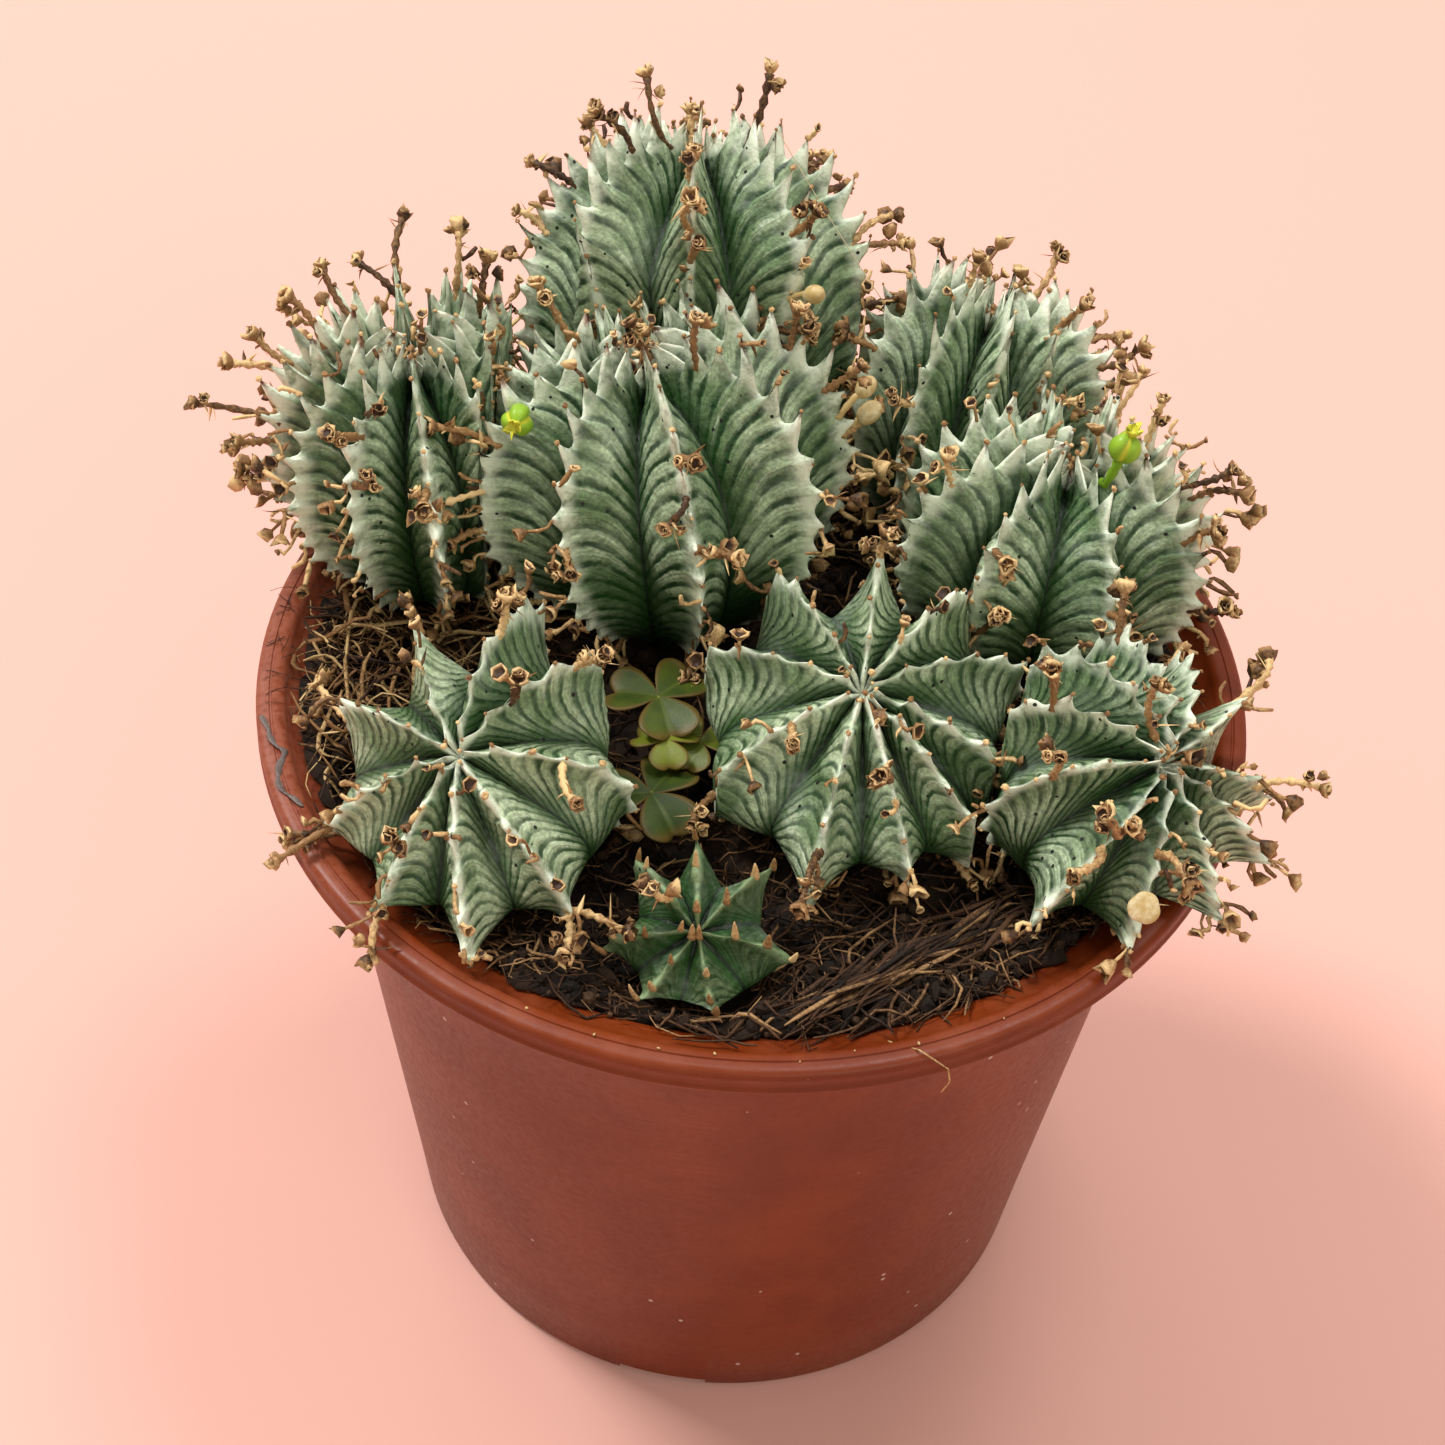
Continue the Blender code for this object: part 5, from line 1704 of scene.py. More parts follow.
    def add_claws(self) -> None:
        """Adds a tan claw to every tooth, which bends up and inward."""
        rng = self.rng
        tips, out = self.body.tips, self.body.tip_headings
        along = along_path(6)
        inward = unit(np.array((*self.body.stem.base, SOIL_LEVEL + self.claw_aim)) - tips)
        rise = unit(out + 0.8 * inward)[:, None]
        length = rng.uniform(2.4, 4.6, (len(tips), 1, 1))
        paths = (tips - 0.6 * out)[:, None] + length * (rise * along
                                                        + 0.25 * inward[:, None] * along**2)
        radii = np.array((0.95, 0.85, 0.72, 0.62, 0.45, 0.14)) * rng.uniform(
            0.7, 1.1, (len(tips), 1))
        shade = rng.uniform(0.5, 1.0, len(tips))
        self.add(tubes(self.body.stem.name + "_claws", paths, radii, shade, 7, 0.7))

    def add_bits(self) -> None:
        """Adds a knob to every tooth, and small dried stubs and cups to most."""
        rng = self.rng
        name = self.body.stem.name
        young = self.body.stem.growth is Growth.STAR
        tips, out = self.body.tips, self.body.tip_headings
        small = min(1.0, self.body.stem.radius / 28.0)
        sizes = rng.uniform(0.45, 0.85, len(tips)) * small
        self.add(grains(name + "_knobs", tips - 0.25 * out, sizes,
                        rng.uniform(0.3, 0.9, len(tips)), rng, (0.7, 1.1)))
        low = tips[:, 2] < np.quantile(tips[:, 2], 0.6)
        hanging = rng.permutation(np.repeat(np.flatnonzero(low), 2))
        crowning = rng.permutation(np.flatnonzero(~low))
        low_stubs = self.young_low_stubs if young else self.low_stubs
        pick = np.concatenate((hanging[:int(low_stubs * low.sum())],
                               crowning[:int(self.high_stubs * len(crowning))]))
        base = tips[pick] - out[pick] * rng.uniform(0.3, 2.2, (len(pick), 1))
        base = base + rng.normal(0.0, 0.35, base.shape)
        spread = unit(out[pick] + rng.normal(0.0, 0.55, base.shape) + (0.0, 0.0, 0.35))
        droop = low[pick]
        spread = unit(spread - np.where(droop, 0.55, 0.0)[:, None] * UP)
        length = rng.uniform(1.6, 5.0, len(pick)) * small * np.where(droop, 1.35, 1.0)
        along = along_path(4)
        kink = rng.normal(0.0, 0.18, (len(pick), 1, 3)) * np.sin(math.pi * along)
        paths = base[:, None] + length[:, None, None] * (spread[:, None] * along + kink)
        radii = np.array((0.5, 0.38, 0.55, 0.4)) * rng.uniform(0.7, 1.2, (len(pick), 1)) * small
        self.add(tubes(name + "_stubs", paths, radii, rng.uniform(0.1, 1.1, len(pick)), 4))
        some = rng.uniform(size=len(pick)) < self.bud_share
        self.add(cups(name + "_buds", paths[some, -1], spread[some],
                      rng.uniform(0.6, 1.75, some.sum()) * small, rng, sides=6))
        curls = rng.uniform(size=len(pick)) < self.curl_share
        self.add_curls(name + "_curls", paths[curls, 1], unit(rng.normal(size=(curls.sum(), 3))),
                       rng.uniform(1.5, 3.6, curls.sum()), 0.5)


@dataclass
class Pot:
    """The round plastic pot with its rounded collar, drain holes and notched foot."""

    finish: bpy.types.Material
    steps: int = 168
    drains: int = 8
    drain_ring: float = 59.0
    drain_radius: float = 4.0
    # The length and the middle height of the drain holes' cutters
    drain_depth: float = 10.8
    drain_level: float = 2.7
    notches: int = 4
    notch_angle: float = -98.0
    notch_box: Place = (11.0, 20.0, 4.8)
    sharp_angle: float = 50.0

    def profile(self) -> tuple[tuple[float, float], ...]:
        """The outline that the pot is spun from.

        Returns:
            The (radius, height) points, from under the floor and over the rim to its top.
        """
        top = POT_HEIGHT
        low = COLLAR_BOTTOM
        rim = RIM_RADIUS
        return (
            (0.0, 0.0), (49.6, 0.0), (50.4, 0.5), (51.0, 2.2), (51.8, 2.6), (66.6, 2.6),
            (67.3, 2.2), (67.7, 0.5), (68.4, 0.0), (71.6, 0.0), (72.3, 0.3), (72.7, 1.0),
            (body_radius(20.0), 20.0), (body_radius(60.0), 60.0), (body_radius(110.0), 110.0),
            (body_radius(low - 2.0), low - 2.0), (body_radius(low) + 0.5, low - 0.5),
            (rim - 1.6, low), (rim - 0.6, low + 0.15), (rim - 0.1, low + 0.6),
            (rim, low + 1.1), (rim - 0.3, low + 1.5), (rim - 0.5, low + 1.9),
            (rim - 0.5, top - 1.9), (rim - 0.1, top - 1.4), (rim - 0.3, top - 0.6),
            (rim - 1.1, top - 0.1), (rim - 2.0, top), (rim - 2.7, top), (rim - 2.9, top - 0.3),
            (rim - 3.2, top - 0.3), (rim - 3.4, top), (rim - 4.4, top - 0.1),
            (rim - 5.3, top - 0.5), (rim - 6.0, top - 1.4), (rim - 6.9, top - 3.3),
            (BODY_TOP_RADIUS + 0.8, top - 4.6), (BODY_TOP_RADIUS - 0.8, top - 5.6),
            (BODY_TOP_RADIUS - WALL, top - 7.4), (body_radius(110.0) - WALL, 110.0),
            (body_radius(60.0) - WALL, 60.0), (body_radius(8.4) - WALL, 8.4),
            (body_radius(6.0) - WALL - 0.6, 6.4), (body_radius(5.4) - WALL - 2.0, FLOOR_TOP),
            (0.0, FLOOR_TOP),
        )

    def drain(self, angle: float) -> bpy.types.Object:
        """Makes the cutter for one drain hole.

        Args:
            angle: Its direction from the middle, in radians.

        Returns:
            The cutter.
        """
        middle = (self.drain_ring * math.cos(angle), self.drain_ring * math.sin(angle),
                  self.drain_level)
        hole = bmesh.new()
        bmesh.ops.create_cone(hole, cap_ends=True, segments=32, radius1=self.drain_radius,
                              radius2=self.drain_radius, depth=self.drain_depth,
                              matrix=Matrix.Translation(middle))
        return bpy.data.objects.new("drain", mesh_from("drain", hole))

    def notch(self, angle: float) -> bpy.types.Object:
        """Makes the cutter for one notch in the foot ring.

        Args:
            angle: Its direction from the middle, in radians.

        Returns:
            The cutter.
        """
        place = Matrix.Rotation(angle, 4, "Z") @ Matrix.Translation((BASE_RADIUS, 0.0, 0.0))
        box = bmesh.new()
        bmesh.ops.create_cube(box, size=1.0,
                              matrix=place @ Matrix.Diagonal((*self.notch_box, 1.0)))
        return bpy.data.objects.new("notch", mesh_from("notch", box))

    def build(self) -> None:
        """Spins the pot's wall and cuts the holes and notches."""
        pot = add_object("pot_blank", mesh_from("pot_wall", spun(self.profile(), self.steps)))
        cutters = bpy.data.collections.new("cutters")
        for index in range(self.drains):
            cutters.objects.link(self.drain(math.tau * (index + 0.5) / self.drains))
        for index in range(self.notches):
            turn = math.tau * index / self.notches
            cutters.objects.link(self.notch(math.radians(self.notch_angle) + turn))
        cut = pot.modifiers.new("holes", "BOOLEAN")
        cut.operation = "DIFFERENCE"
        cut.operand_type = "COLLECTION"
        cut.collection = cutters
        mesh = modified(pot)
        for spare in (pot, *cutters.objects):
            bpy.data.objects.remove(spare, do_unlink=True)
        bpy.data.collections.remove(cutters)
        mesh.shade_smooth()
        mesh.set_sharp_from_angle(angle=math.radians(self.sharp_angle))
        add_piece("pot_wall", mesh, self.finish, "pot", "pot")


@dataclass
class SoilBed:
    """The peat filling: its rough top, crumbs, coir fibres, straw and strands over the rim."""

    peat: bpy.types.Material
    fibre: bpy.types.Material
    straw: bpy.types.Material
    residue: bpy.types.Material
    stems: Sequence[StemBody]
    rng: np.random.Generator = field(default_factory=lambda: np.random.default_rng(LITTER_SEED))
    crumbs: int = 3600
    fibres: int = 2700
    straws: int = 620
    mat_fibres: int = 190
    rim_hairs: int = 18
    top_steps: int = 220
    top_rings: int = 64
    # Directions and distances from the middle between which straw and rim hairs lie
    straw_turns: tuple[float, float] = (152.0, 232.0)
    straw_ring: tuple[float, float] = (60.0, 87.0)
    hair_turns: tuple[float, float] = (168.0, 192.0)
    hair_ring: tuple[float, float] = (93.0, 99.5)
    # The bark mat: one end of its line, the way to the other, and its fibres' direction
    mat_end: tuple[float, float] = (16.0, -81.0)
    mat_way: tuple[float, float] = (32.0, 24.0)
    mat_heading: float = 37.0
    # The bank along the wall: its height, the heap at the left, and where it starts and ends
    bank: float = 6.3
    heap: float = 2.0
    heap_angle: float = 190.0
    heap_spread: float = 38.0
    bank_start: float = 68.0
    bank_width: float = 17.0
    bank_room: float = 2.2
    # The height under the stems over the cells of a square grid, all of it open at first
    ceiling: np.ndarray = field(default_factory=lambda: np.full((GRID_CELLS,) * 2, OPEN_SKY))

    def add(self, mesh: bpy.types.Mesh, finish: bpy.types.Material) -> None:
        """Adds a mesh as a piece of the filling."""
        add_piece(mesh.name, mesh, finish, "soil", "soil")

    def heights(self, x: np.ndarray, y: np.ndarray) -> np.ndarray:
        """The soil's level with its low waves, as in the solid, and the heap at the left.

        Args:
            x: How far right of the middle each place is.
            y: How far behind it.

        Returns:
            The level of each place.
        """
        wave = np.sin(0.21 * x + 0.17 * y + 0.9) + 0.6 * np.sin(0.37 * x - 0.29 * y)
        away = np.hypot(x, y)
        calm = np.clip((80.0 - away) / 14.0, 0.0, 1.0)
        for stem in STEMS:
            gap = np.hypot(x - stem.base[0], y - stem.base[1]) - stem.foot
            calm = np.minimum(calm, np.clip((gap - 4.0) / 8.0, 0.0, 1.0))
        level = SOIL_LEVEL + 1.3 * wave * calm
        # The filling is banked up against the wall, highest at the left
        angle = np.degrees(np.arctan2(y, x)) % 360.0
        heap = np.exp(-((angle - self.heap_angle) / self.heap_spread)**2)
        share = np.clip((away - self.bank_start) / self.bank_width, 0.0, 1.0)
        raised = (self.bank + self.heap * heap) * share**2 * (3.0 - 2.0 * share)
        free = self.room(x, y) - level - self.bank_room
        return level + np.clip(np.minimum(raised, free), 0.0, None)

    def wall(self, z: np.ndarray) -> np.ndarray:
        """The inner radius of the pot near its rim.

        Args:
            z: The heights.

        Returns:
            The radius at each of them.
        """
        levels = np.array((0.0, 7.4, 9.2, 10.2, 11.5, 13.4, 20.0)) + POT_HEIGHT - 14.8
        inner = BODY_TOP_RADIUS + np.array((-2.7, -1.8, -0.8, 0.8, 4.7, 5.6, 6.0))
        return np.interp(z, levels, inner)

    def cell(self, place: np.ndarray) -> np.ndarray:
        """The row or the column of the grid that places lie in."""
        return np.clip(((place + GRID_REACH) / GRID_CELL).astype(int), 0, GRID_CELLS - 1)

    def survey(self) -> None:
        """Notes how low the stems hang over every place, so that nothing grows into them."""
        for body in self.stems:
            points = points_of(bpy.data.objects[body.stem.name + "_flesh"].data)
            points = points[points[:, 2] > SOIL_LEVEL + 1.0]
            cells = self.cell(points[:, 0]), self.cell(points[:, 1])
            np.minimum.at(self.ceiling, cells, points[:, 2])
        padded = np.pad(self.ceiling, 1, constant_values=OPEN_SKY)
        size = len(self.ceiling)
        around = [padded[i:i + size, j:j + size] for i, j in np.ndindex(3, 3)]
        self.ceiling = np.min(around, axis=0)

    def room(self, x: np.ndarray, y: np.ndarray) -> np.ndarray:
        """The height below the stems at each place."""
        return self.ceiling[self.cell(x), self.cell(y)]

    def build(self) -> None:
        """Builds the bed and everything loose on it."""
        self.survey()
        self.add_top()
        self.add_crumbs()
        self.add_fibres()
        self.add_straw()
        self.add_mat()
        self.add_strands()
        self.add_hairs()

    def add_top(self) -> None:
        """Adds the filling, with a rough top."""
        wall = body_radius(SOIL_LEVEL) - WALL - GAP
        profile = [(0.0, 6.0), (70.0, 6.0), (wall - 2.0, SOIL_LEVEL - 20.0),
                   (wall - 0.2, SOIL_LEVEL - 1.2)]
        count = self.top_rings
        profile += [(wall * (1.0 - ring / count)**0.8, SOIL_LEVEL) for ring in range(count + 1)]
        mesh = mesh_from("soil_top", spun(profile, self.top_steps))
        points = points_of(mesh)
        top = points[:, 2] > SOIL_LEVEL - 1.0
        x, y = points[top, 0], points[top, 1]
        rough = 1.1 * lumps(points[top], 4.5, 11) + 0.7 * lumps(points[top], 1.8, 12)
        points[top, 2] = self.heights(x, y) + rough
        # The outer ring stands against the wall, and the next one reaches out below the rim
        away = np.maximum(np.hypot(x, y), 1.0)
        shoulder = away > wall - 0.05
        points[top, 2] = np.where(shoulder, np.minimum(points[top, 2], SOIL_LEVEL + 3.2),
                                  points[top, 2])
        spread = np.clip((away - 78.0) / (wall - 79.0), 0.0, 1.0)**2
        reach = (self.wall(points[top, 2]) - 0.7 - wall) * spread
        points[top, :2] *= (1.0 + np.where(shoulder, 0.3, np.maximum(reach, 0.0)) / away)[:, None]
        shade = 0.30 + 0.30 * lumps(points, 7.0, 13) + 0.25 * lumps(points, 2.2, 14)
        set_mark(mesh, "shade", shade)
        set_points(mesh, points)
        self.add(mesh, self.peat)

    def spots(self, count: int, room: float, edge: float = 89.0) -> np.ndarray:
        """Places on the soil that have some room under the stems.

        Args:
            count: How many places.
            room: The height that must be free.
            edge: How far from the middle they may be.

        Returns:
            The places, each on the soil's level.
        """
        found = np.zeros((0, 3))
        while len(found) < count:
            away = edge * self.rng.uniform(size=4 * count)**0.32
            angle = self.rng.uniform(0.0, math.tau, 4 * count)
            x, y = away * np.cos(angle), away * np.sin(angle)
            level = self.heights(x, y)
            free = self.room(x, y) - level > room
            found = np.vstack((found, np.column_stack((x, y, level))[free]))
        return found[:count]

    def add_crumbs(self) -> None:
        """Adds crumbs of peat, bark and grit."""
        rng = self.rng
        spots = self.spots(self.crumbs, 3.0)
        sizes = 0.5 + 2.2 * rng.uniform(size=len(spots))**3
        away = np.hypot(spots[:, 0], spots[:, 1])
        inside = np.minimum(1.0, (self.wall(spots[:, 2]) - 1.3 * sizes) / away)
        spots[:, :2] *= inside[:, None]
        shade = rng.beta(1.4, 2.6, len(spots))
        spots[:, 2] += 0.4 * sizes
        self.add(grains("soil_crumbs", spots, sizes, shade, rng, (0.45, 1.1)), self.peat)

    def strewn(self, spots: np.ndarray, lengths: np.ndarray, lift: float, curve: float,
               points: int, heading: float | None = None) -> np.ndarray:
        """Lays threads over the soil.

        Args:
            spots: The middle of each.
            lengths: How long each is.
            lift: How steeply they may rise, in radians.
            curve: How strongly they bend, as a share of the length.
            points: How many points each has.
            heading: A common heading in radians, or none.

        Returns:
            The points of each.
        """
        rng = self.rng
        count = len(spots)
        turn = rng.uniform(0.0, math.tau, count)
        if heading is not None:
            turn = heading + rng.normal(0.0, 0.16, count)
        slope = rng.normal(0.0, lift, count)
        ahead = np.column_stack((np.cos(turn) * np.cos(slope), np.sin(turn) * np.cos(slope),
                                 np.sin(slope)))
        along = along_path(points, -0.5)
        bow = unit(rng.normal(size=(count, 3)) * (1.0, 1.0, 0.45))[:, None]
        twist = unit(rng.normal(size=(count, 3)) * (1.0, 1.0, 0.45))[:, None]
        shape = ahead[:, None] * along + curve * bow * (0.25 - along**2)
        shape = shape + 0.6 * curve * twist * np.sin(4.0 * along) * along
        paths = spots[:, None] + lengths[:, None, None] * shape
        for _ in range(2):
            away = np.hypot(paths[..., 0], paths[..., 1])
            inside = np.minimum(1.0, (self.wall(paths[..., 2]) - 0.9) / np.maximum(away, 1.0))
            paths[..., :2] *= inside[..., None]
            level = self.heights(paths[..., 0], paths[..., 1])
            top = self.room(paths[..., 0], paths[..., 1]) - 1.0
            paths[..., 2] = np.maximum(np.minimum(paths[..., 2], top), level + 0.3)
        return paths

    def add_fibres(self) -> None:
        """Adds thin coir fibres all over the soil."""
        rng = self.rng
        spots = self.spots(self.fibres, 2.0)
        lengths = 3.0 + 16.0 * rng.uniform(size=len(spots))**1.5
        spots[:, 2] += 0.5 + 3.0 * rng.uniform(size=len(spots))**2
        paths = self.strewn(spots, lengths, 0.16, 0.75, 5)
        radii = rng.uniform(0.10, 0.38, (len(spots), 1)) * np.array((0.6, 1.0, 1.0, 0.9, 0.5))
        shade = rng.beta(1.3, 1.8, len(spots))
        self.add(tubes("soil_fibres", paths, radii, shade, 4), self.fibre)

    def add_straw(self) -> None:
        """Adds the heap of straw at the left, between the stems and the rim."""
        rng = self.rng
        count = self.straws
        angle = np.radians(rng.uniform(*self.straw_turns, count))
        away = rng.uniform(*self.straw_ring, count)
        x, y = away * np.cos(angle), away * np.sin(angle)
        heap = 4.5 * np.exp(-((np.degrees(angle) - 187.0) / 26.0)**2)
        z = self.heights(x, y) + rng.uniform(0.5, 1.0, count) * (1.0 + heap)
        free = self.room(x, y) > z + 1.0
        spots = np.column_stack((x, y, np.minimum(z, POT_HEIGHT)))[free]
        lengths = rng.uniform(6.0, 22.0, len(spots))
        paths = self.strewn(spots, lengths, 0.34, 0.95, 7)
        width = 0.16 + 0.75 * rng.uniform(size=(len(spots), 1))**2
        radii = width * np.array((0.5, 0.9, 1.0, 1.0, 0.95, 0.8, 0.35))
        shade = rng.beta(0.9, 0.8, len(spots))
        self.add(tubes("soil_straw", paths, radii, shade, 5, 0.45), self.straw)

    def add_mat(self) -> None:
        """Adds the matted bark fibres in front, which lie side by side."""
        rng = self.rng
        count = self.mat_fibres
        share = rng.uniform(size=count)
        x = self.mat_end[0] + self.mat_way[0] * share + rng.normal(0.0, 2.2, count)
        y = self.mat_end[1] + self.mat_way[1] * share + rng.normal(0.0, 3.0, count)
        z = self.heights(x, y) + rng.uniform(0.6, 5.2, count)
        spots = np.column_stack((x, y, z))[self.room(x, y) > z]
        lengths = rng.uniform(6.0, 26.0, len(spots))
        paths = self.strewn(spots, lengths, 0.06, 0.25, 7, math.radians(self.mat_heading))
        width = rng.uniform(0.25, 0.85, (len(spots), 1))
        radii = width * np.array((0.3, 0.8, 1.0, 1.0, 1.0, 0.8, 0.3))
        shade = rng.beta(1.1, 2.4, len(spots))
        self.add(tubes("soil_bark_mat", paths, radii, shade, 5, 0.5), self.fibre)

    def add_strands(self) -> None:
        """Adds a strand over the rim, grit on it and a dried snail trail."""
        rng = self.rng
        hair = np.array(RIM_STRAND)
        self.add(tubes("rim_strand", hair[None], np.full((1, len(hair)), 0.16),
                       np.array([0.8])), self.straw)
        turn, away = np.array(RIM_GRIT).T
        angle = np.radians(turn)
        count = len(RIM_GRIT)
        spots = np.column_stack((away * np.cos(angle), away * np.sin(angle),
                                 np.full(count, POT_HEIGHT + 0.15)))
        self.add(grains("rim_grit", spots, rng.uniform(0.15, 0.50, count), np.full(count, 1.1),
                        rng), self.straw)
        path = np.column_stack((RIM_TRAIL, np.full(len(RIM_TRAIL), POT_HEIGHT + 0.1)))
        path = smooth_line(path, 4)
        width = 0.75 + 0.25 * np.sin(0.9 * np.arange(len(path)))
        self.add(tubes("rim_residue", path[None], width[None], np.array([0.55]), 8, 0.3),
                 self.residue)

    def add_hairs(self) -> None:
        """Adds short loose hairs on the left of the rim."""
        rng = self.rng
        count = self.rim_hairs
        angle = np.radians(rng.uniform(*self.hair_turns, count))
        away = rng.uniform(*self.hair_ring, count)
        spots = np.column_stack((away * np.cos(angle), away * np.sin(angle),
                                 np.full(count, POT_HEIGHT + 0.25)))
        along = along_path(5, -0.5)
        turn = rng.uniform(0.0, math.tau, count)
        ahead = np.column_stack((np.cos(turn), np.sin(turn), np.zeros(count)))[:, None]
        bow = rng.normal(0.0, 0.35, (count, 1, 3)) * (1.0, 1.0, 0.3)
        shape = ahead * along + bow * (0.25 - along**2)
        paths = spots[:, None] + rng.uniform(2.0, 6.0, (count, 1, 1)) * shape
        paths[..., 2] = np.maximum(paths[..., 2], POT_HEIGHT + 0.15)
        radii = rng.uniform(0.05, 0.11, (count, 1)) * np.ones(5)
        self.add(tubes("rim_hairs", paths, radii, rng.uniform(0.0, 0.5, count), 4), self.fibre)


@dataclass
class Weed:
    """The small weed between the front heads: folded heart-shaped leaflets on thin stalks."""

    finish: bpy.types.Material
    base: tuple[float, float] = WEED_BASE
    blades: int = 3
    stalk_points: int = 6
    # Each leaf as (sideways, forward, height above the soil, leaflet length, shade, turn)
    leaves: tuple[tuple[float, ...], ...] = (
        (-0.5, 11.0, 18.5, 11.0, 0.28, 2.97), (1.5, 1.5, 16.5, 7.0, 0.95, 2.80),
        (-0.5, -10.0, 13.5, 11.0, 0.18, 3.20), (8.0, 3.5, 14.5, 7.5, 0.50, 0.2),
    )

    def build(self) -> None:
        """Builds the stalks and the leaflets."""
        ground = np.array((*self.base, SOIL_LEVEL))
        share = np.linspace(0.0, 1.0, self.stalk_points)[:, None]
        paths = []
        for index, (sideways, forward, height, length, shade, turn) in enumerate(self.leaves):
            tip = ground + (sideways, forward, height)
            bend = np.array((0.35 * sideways, 0.2 * forward, 0.55 * height))
            paths.append(ground - UP + 2.0 * share * (1.0 - share) * bend
                         + share**2 * (tip - ground + UP))
            for blade in range(self.blades):
                angle = turn + math.tau * blade / self.blades
                self.add_leaflet(f"weed_leaf_{index}_{blade}", tip, angle, length, shade)
        stalks = tubes("weed_stalks", np.array(paths), np.full((len(paths), len(share)), 0.42),
                       np.full(len(paths), 0.7), 7)
        set_mark(stalks, "edge", 0.0)
        set_mark(stalks, "vein", 0.0)
        add_piece("weed_stalks", stalks, self.finish, "weed", "weed")

    def add_leaflet(self, label: str, tip: np.ndarray, angle: float, length: float,
                    shade: float) -> None:
        """Adds one blade, folded along its midrib and notched at its end.

        Args:
            label: The piece's name.
            tip: The end of the leaf's stalk.
            angle: Where the blade points, in radians.
            length: How long it is.
            shade: From deep green (0) to young and yellow (1).
        """
        shape = bmesh.new()
        bmesh.ops.create_grid(shape, x_segments=14, y_segments=14, size=1.0)
        rng = np.random.default_rng(round(100.0 * angle) + round(length * 10.0))
        droop, fold = rng.uniform(0.10, 0.35), rng.uniform(0.25, 0.5)
        marks = []
        for vert in shape.verts:
            across, along = vert.co.x, 0.5 * (vert.co.y + 1.0)
            width = 0.60 * length * math.sin(0.5 * math.pi * min(1.0, 1.08 * along))**0.8
            reach = along * (1.0 - 0.20 * (1.0 - abs(across))**3 * along**3)
            reach -= 0.14 * abs(across)**3 * along
            local = Vector((length * reach, width * across * (1.0 - 0.22 * along**6),
                            length * (fold * 0.5 * abs(across) * along - droop * along**2)))
            vert.co = Vector(tip) + Matrix.Rotation(angle, 3, "Z") @ local
            marks.append((max(abs(across), along), math.exp(-(across / 0.07)**2)))
        bmesh.ops.solidify(shape, geom=shape.faces, thickness=0.35)
        mesh = mesh_from(label, shape)
        marks = (marks * 2)[:len(mesh.vertices)]
        marks += [(1.0, 0.0)] * (len(mesh.vertices) - len(marks))
        edge, vein = zip(*marks)
        set_mark(mesh, "edge", edge)
        set_mark(mesh, "vein", vein)
        set_mark(mesh, "shade", shade)
        add_piece(label, mesh, self.finish, "weed", "weed")


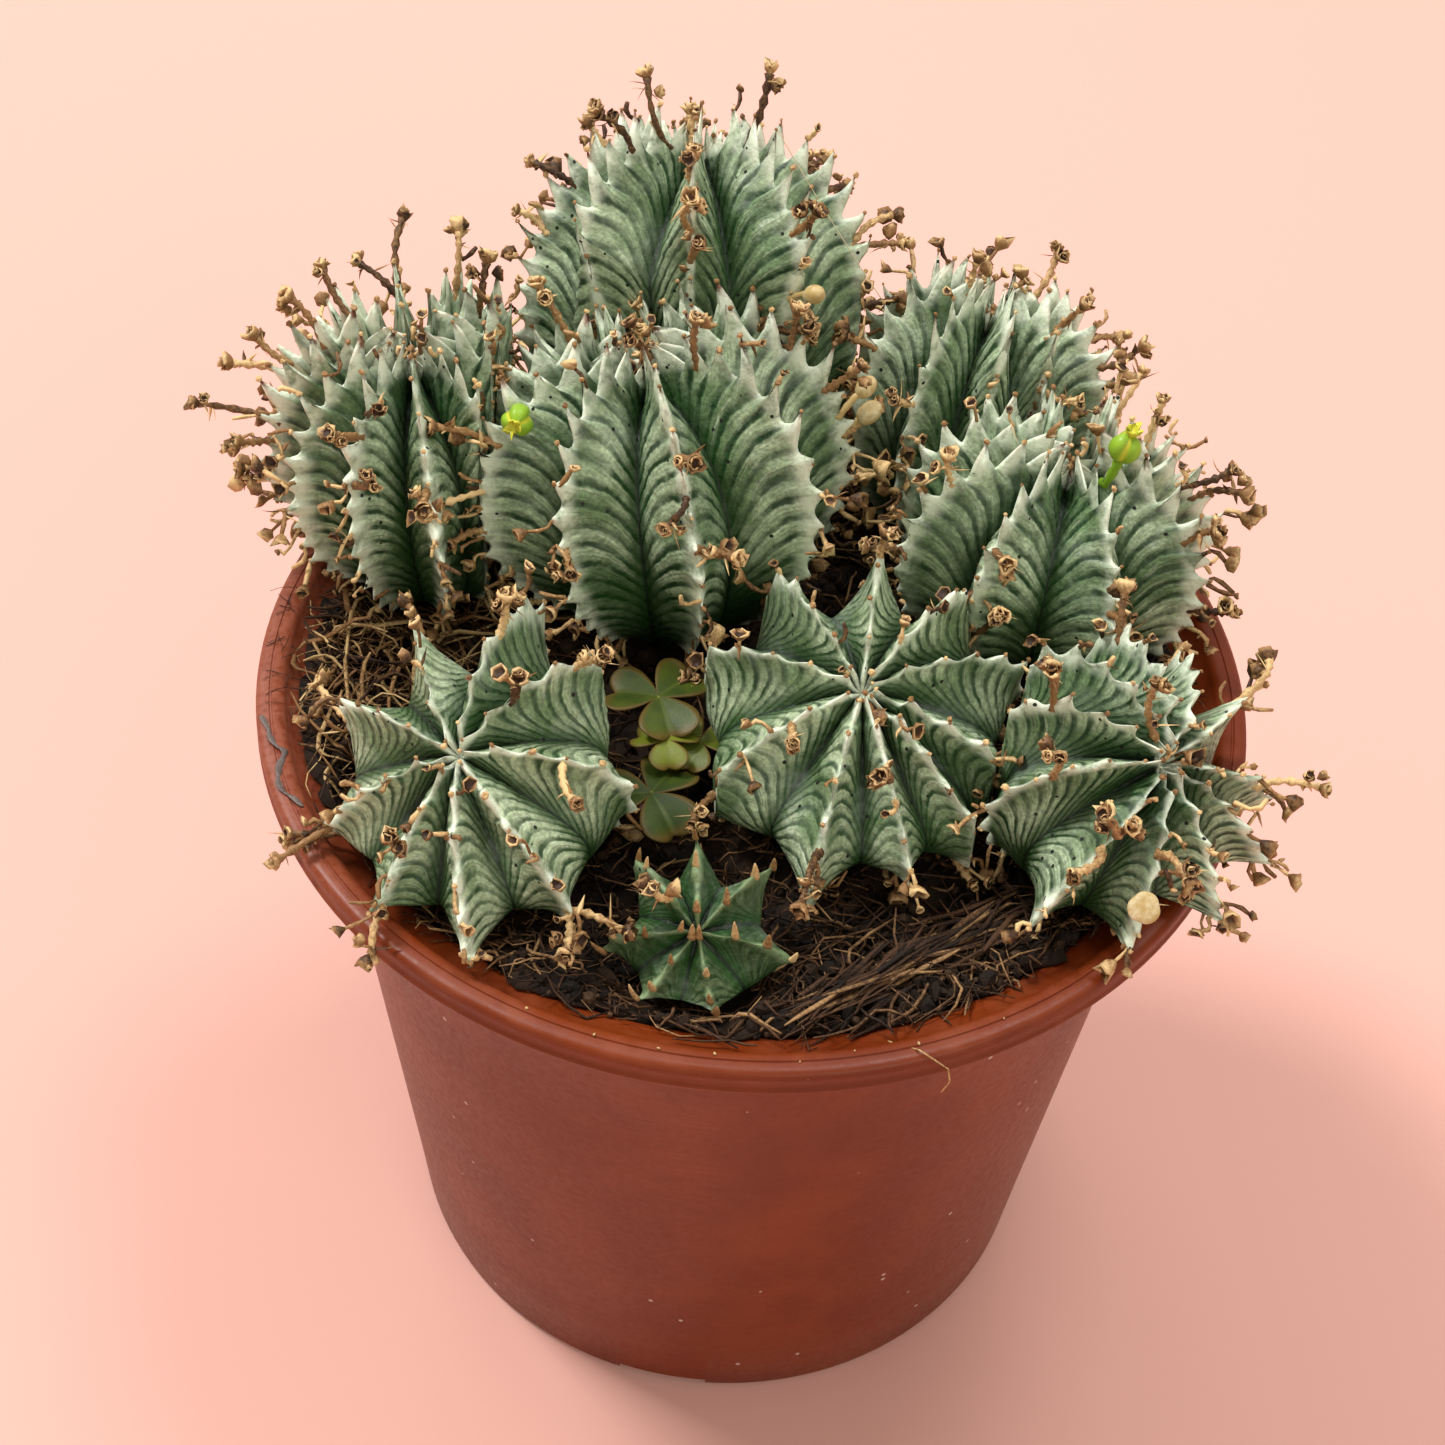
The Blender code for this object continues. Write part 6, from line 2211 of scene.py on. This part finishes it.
@dataclass
class Fruits:
    """Green three-lobed fruits, tan capsules, a fallen petal and a cobweb thread."""

    green: bpy.types.Material
    dry: bpy.types.Material
    lobes: int = 3
    stalk_points: int = 9
    thread_points: int = 12
    thread_radius: float = 0.09
    thread_sag: float = 3.0

    def build(self) -> None:
        """Builds every fruit, the petal and the thread."""
        stems = {stem.name: stem for stem in STEMS}
        for index, (name, place, size) in enumerate(FRUITS):
            sprig = Sprig.on(stems[name], place)
            self.add_fruit(f"fruit_{index}", name, sprig, size, self.green, 0.30, 1.0)
        for index, (name, place, size, tall) in enumerate(CAPSULES):
            sprig = Sprig.on(stems[name], place)
            self.add_fruit(f"capsule_{index}", name, sprig, size, self.dry, 0.10, tall)
        self.add_thread()

    def add_fruit(self, label: str, node: str, sprig: Sprig, size: float,
                  finish: bpy.types.Material, depth: float, tall: float) -> None:
        """Adds one lobed fruit on its stalk, and a flower on a green one.

        Args:
            label: The piece's name.
            node: The stem that it grows on.
            sprig: Its stalk.
            size: Its radius.
            finish: Its material.
            depth: How deep the furrows between its lobes are, as a share of the radius.
            tall: Its height as a share of its width.
        """
        shape, _, angle = ball(36, 17)
        one = np.array([vert.co for vert in shape.verts])
        furrow = 0.5 - 0.5 * np.cos(self.lobes * angle)
        wave = 1.0 - depth * furrow**3
        local = one * np.column_stack((wave, wave, np.full(len(one), tall)))
        rng = np.random.default_rng(round(size * 10.0))
        mesh = moved(copies(label, shape, 1), turned(
            local, (sprig.foot + sprig.heading * sprig.length)[None], sprig.heading[None],
            np.array([size]), np.array([0.6])), np.array([0.65]))
        self.add_part(mesh, finish, node, 0.70 + 0.26 * furrow**8)
        path = sprig.path(self.stalk_points, 1.5, 0.004, rng.normal(0.0, 0.25, 3))
        nub = np.where(np.arange(self.stalk_points) % 2, 1.25, 0.95) * 0.36 * size**0.8
        stalk = tubes(label + "_stalk", path[None], nub[None], np.array([0.5]), 8)
        self.add_part(stalk, finish, node, 0.0)
        if finish is self.green:
            top = sprig.foot + sprig.heading * (sprig.length + 0.9 * size)
            flower = cups(label + "_flower", top[None], sprig.heading[None],
                          np.array([0.45 * size]), rng, 15)
            self.add_part(flower, finish, node, 0.97)

    def add_part(self, mesh: bpy.types.Mesh, finish: bpy.types.Material, node: str,
                 edge: object) -> None:
        """Adds a piece of a fruit, which has no veins.

        Args:
            mesh: Its mesh.
            finish: Its material.
            node: The stem that it grows on.
            edge: How much of the margin's colour each point has.
        """
        set_mark(mesh, "edge", edge)
        set_mark(mesh, "vein", 0.0)
        add_piece(mesh.name, mesh, finish, "flesh", node)

    def add_thread(self) -> None:
        """Adds the cobweb thread that hangs from the tall stem to the one at the back right."""
        start = skin_point("stem_2", (-2.3, 74.3, 240.9))
        end = skin_point("stem_4", (21.5, 61.7, 208.1))
        count = self.thread_points
        share = np.linspace(0.0, 1.0, count)[:, None]
        path = start + (end - start) * share
        path[:, 2] -= self.thread_sag * share[:, 0] * (1.0 - share[:, 0])
        radii = np.full((1, count), self.thread_radius)
        thread = tubes("cobweb", path[None], radii, np.array([1.2]), 4)
        add_piece("cobweb", thread, self.dry, "flesh", "stem_2")


@dataclass
class Studio:
    """The camera, the pale floor and the soft lights."""

    focal_px: float = 2583.46
    frame_px: float = 1445.0
    pitch: float = 46.724
    roll: float = 3.633
    eye: Place = (-5.69, -366.996, 532.894)
    sensor: float = 36.0
    # Where the lights point, in metres
    target: Place = (0.0, 0.0, 0.12)

    def camera(self) -> None:
        """Places the camera at the photograph's viewing angle."""
        data = bpy.data.cameras.new("camera")
        data.sensor_width = self.sensor
        data.lens = self.sensor * self.focal_px / self.frame_px
        data.clip_start = 0.01
        camera = add_object("camera", data)
        bpy.context.scene.camera = camera
        pitch, roll = math.radians(self.pitch), math.radians(self.roll)
        forward = Vector((0.0, math.cos(pitch), -math.sin(pitch)))
        right = Vector((1.0, 0.0, 0.0))
        up = right.cross(forward)
        turned_right = math.cos(roll) * right + math.sin(roll) * up
        turned_up = math.cos(roll) * up - math.sin(roll) * right
        turn = Matrix((turned_right, turned_up, -forward)).transposed()
        camera.matrix_world = Matrix.Translation(Vector(self.eye) * MM) @ turn.to_4x4()

    def light(self, name: str, place: Place, size: float, power: float, colour: Colour) -> None:
        """Adds a large soft area light that points at the clump.

        Args:
            name: The light's name.
            place: Where it is, in metres.
            size: Its side, in metres.
            power: Its power, in watts.
            colour: Its colour.
        """
        data = bpy.data.lights.new(name, "AREA")
        data.size = size
        data.energy = power
        data.color = colour
        made = add_object(name, data)
        made.location = place
        aim = Vector(self.target) - Vector(place)
        made.rotation_euler = aim.to_track_quat("-Z", "Y").to_euler()

    def build(self) -> None:
        """Sets up the camera, the floor, the world and the lights."""
        self.camera()
        bpy.context.scene.view_settings.view_transform = "Standard"
        shape = bmesh.new()
        bmesh.ops.create_grid(shape, x_segments=2, y_segments=2, size=4000.0)
        bmesh.ops.translate(shape, vec=(0.0, 0.0, -0.4), verts=shape.verts)
        mesh = mesh_from("floor", shape, smooth=False)
        finish, _, shader = new_finish("pale_floor", 0.1)
        shader.inputs["Base Color"].default_value = (0.80, 0.448, 0.378, 1.0)
        shader.inputs["Roughness"].default_value = 0.9
        mesh.materials.append(finish)
        floor = add_object("floor", mesh)
        world = bpy.data.worlds.new("studio")
        world.use_nodes = True
        back = world.node_tree.nodes["Background"]
        back.inputs["Color"].default_value = (1.0, 0.94, 0.88, 1.0)
        back.inputs["Strength"].default_value = 0.54
        bpy.context.scene.world = world
        self.light("key", (-1.65, 0.80, 3.0), 0.75, 86.0, (1.0, 0.99, 0.98))
        self.light("top", (0.5, 0.5, 2.2), 0.6, 16.0, (1.0, 1.0, 1.0))
        self.light("fill", (0.9, -1.5, 1.2), 1.2, 9.0, (1.0, 0.92, 0.80))
        self.light("back", (-0.7, 1.6, 1.7), 0.9, 6.0, (1.0, 0.97, 0.93))


def main() -> None:
    """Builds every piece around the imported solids."""
    logging.basicConfig(level=logging.INFO, format="%(message)s")
    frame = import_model()
    log.info("solids: %d", len(frame["nodes"]))
    Studio().build()
    effects = Effects(speck_group(), dust_group())
    barrel_flesh = BARREL_FLESH.material(effects)
    star_flesh = STAR_FLESH.material(effects)
    stalk = STALK_SCRAP.material()
    Pot(PotFinish().material(effects)).build()
    bodies = []
    for index, stem in enumerate(STEMS):
        finish = star_flesh if stem.name in ("stem_6", "stem_7") else barrel_flesh
        # The young offset in front takes the darker finish, painted shade
        if stem.name == "stem_8":
            finish = SHADED_YOUNG_FLESH.material(effects)
        body = StemBody(stem, finish, index + 1)
        body.build()
        rng = np.random.default_rng(FLOWER_SEED + index)
        DriedFlowers(body, stalk, rng, claws=stem.name == "stem_8").build()
        bodies.append(body)
    SoilBed(PEAT_SCRAP.material(), FIBRE_SCRAP.material(), STRAW_SCRAP.material(),
            RESIDUE_SCRAP.material(), bodies).build()
    Weed(WEED_LEAF.material()).build()
    Fruits(GREEN_FRUIT.material(), CAPSULE_SCRAP.material()).build()


if __name__ == "__main__":
    main()
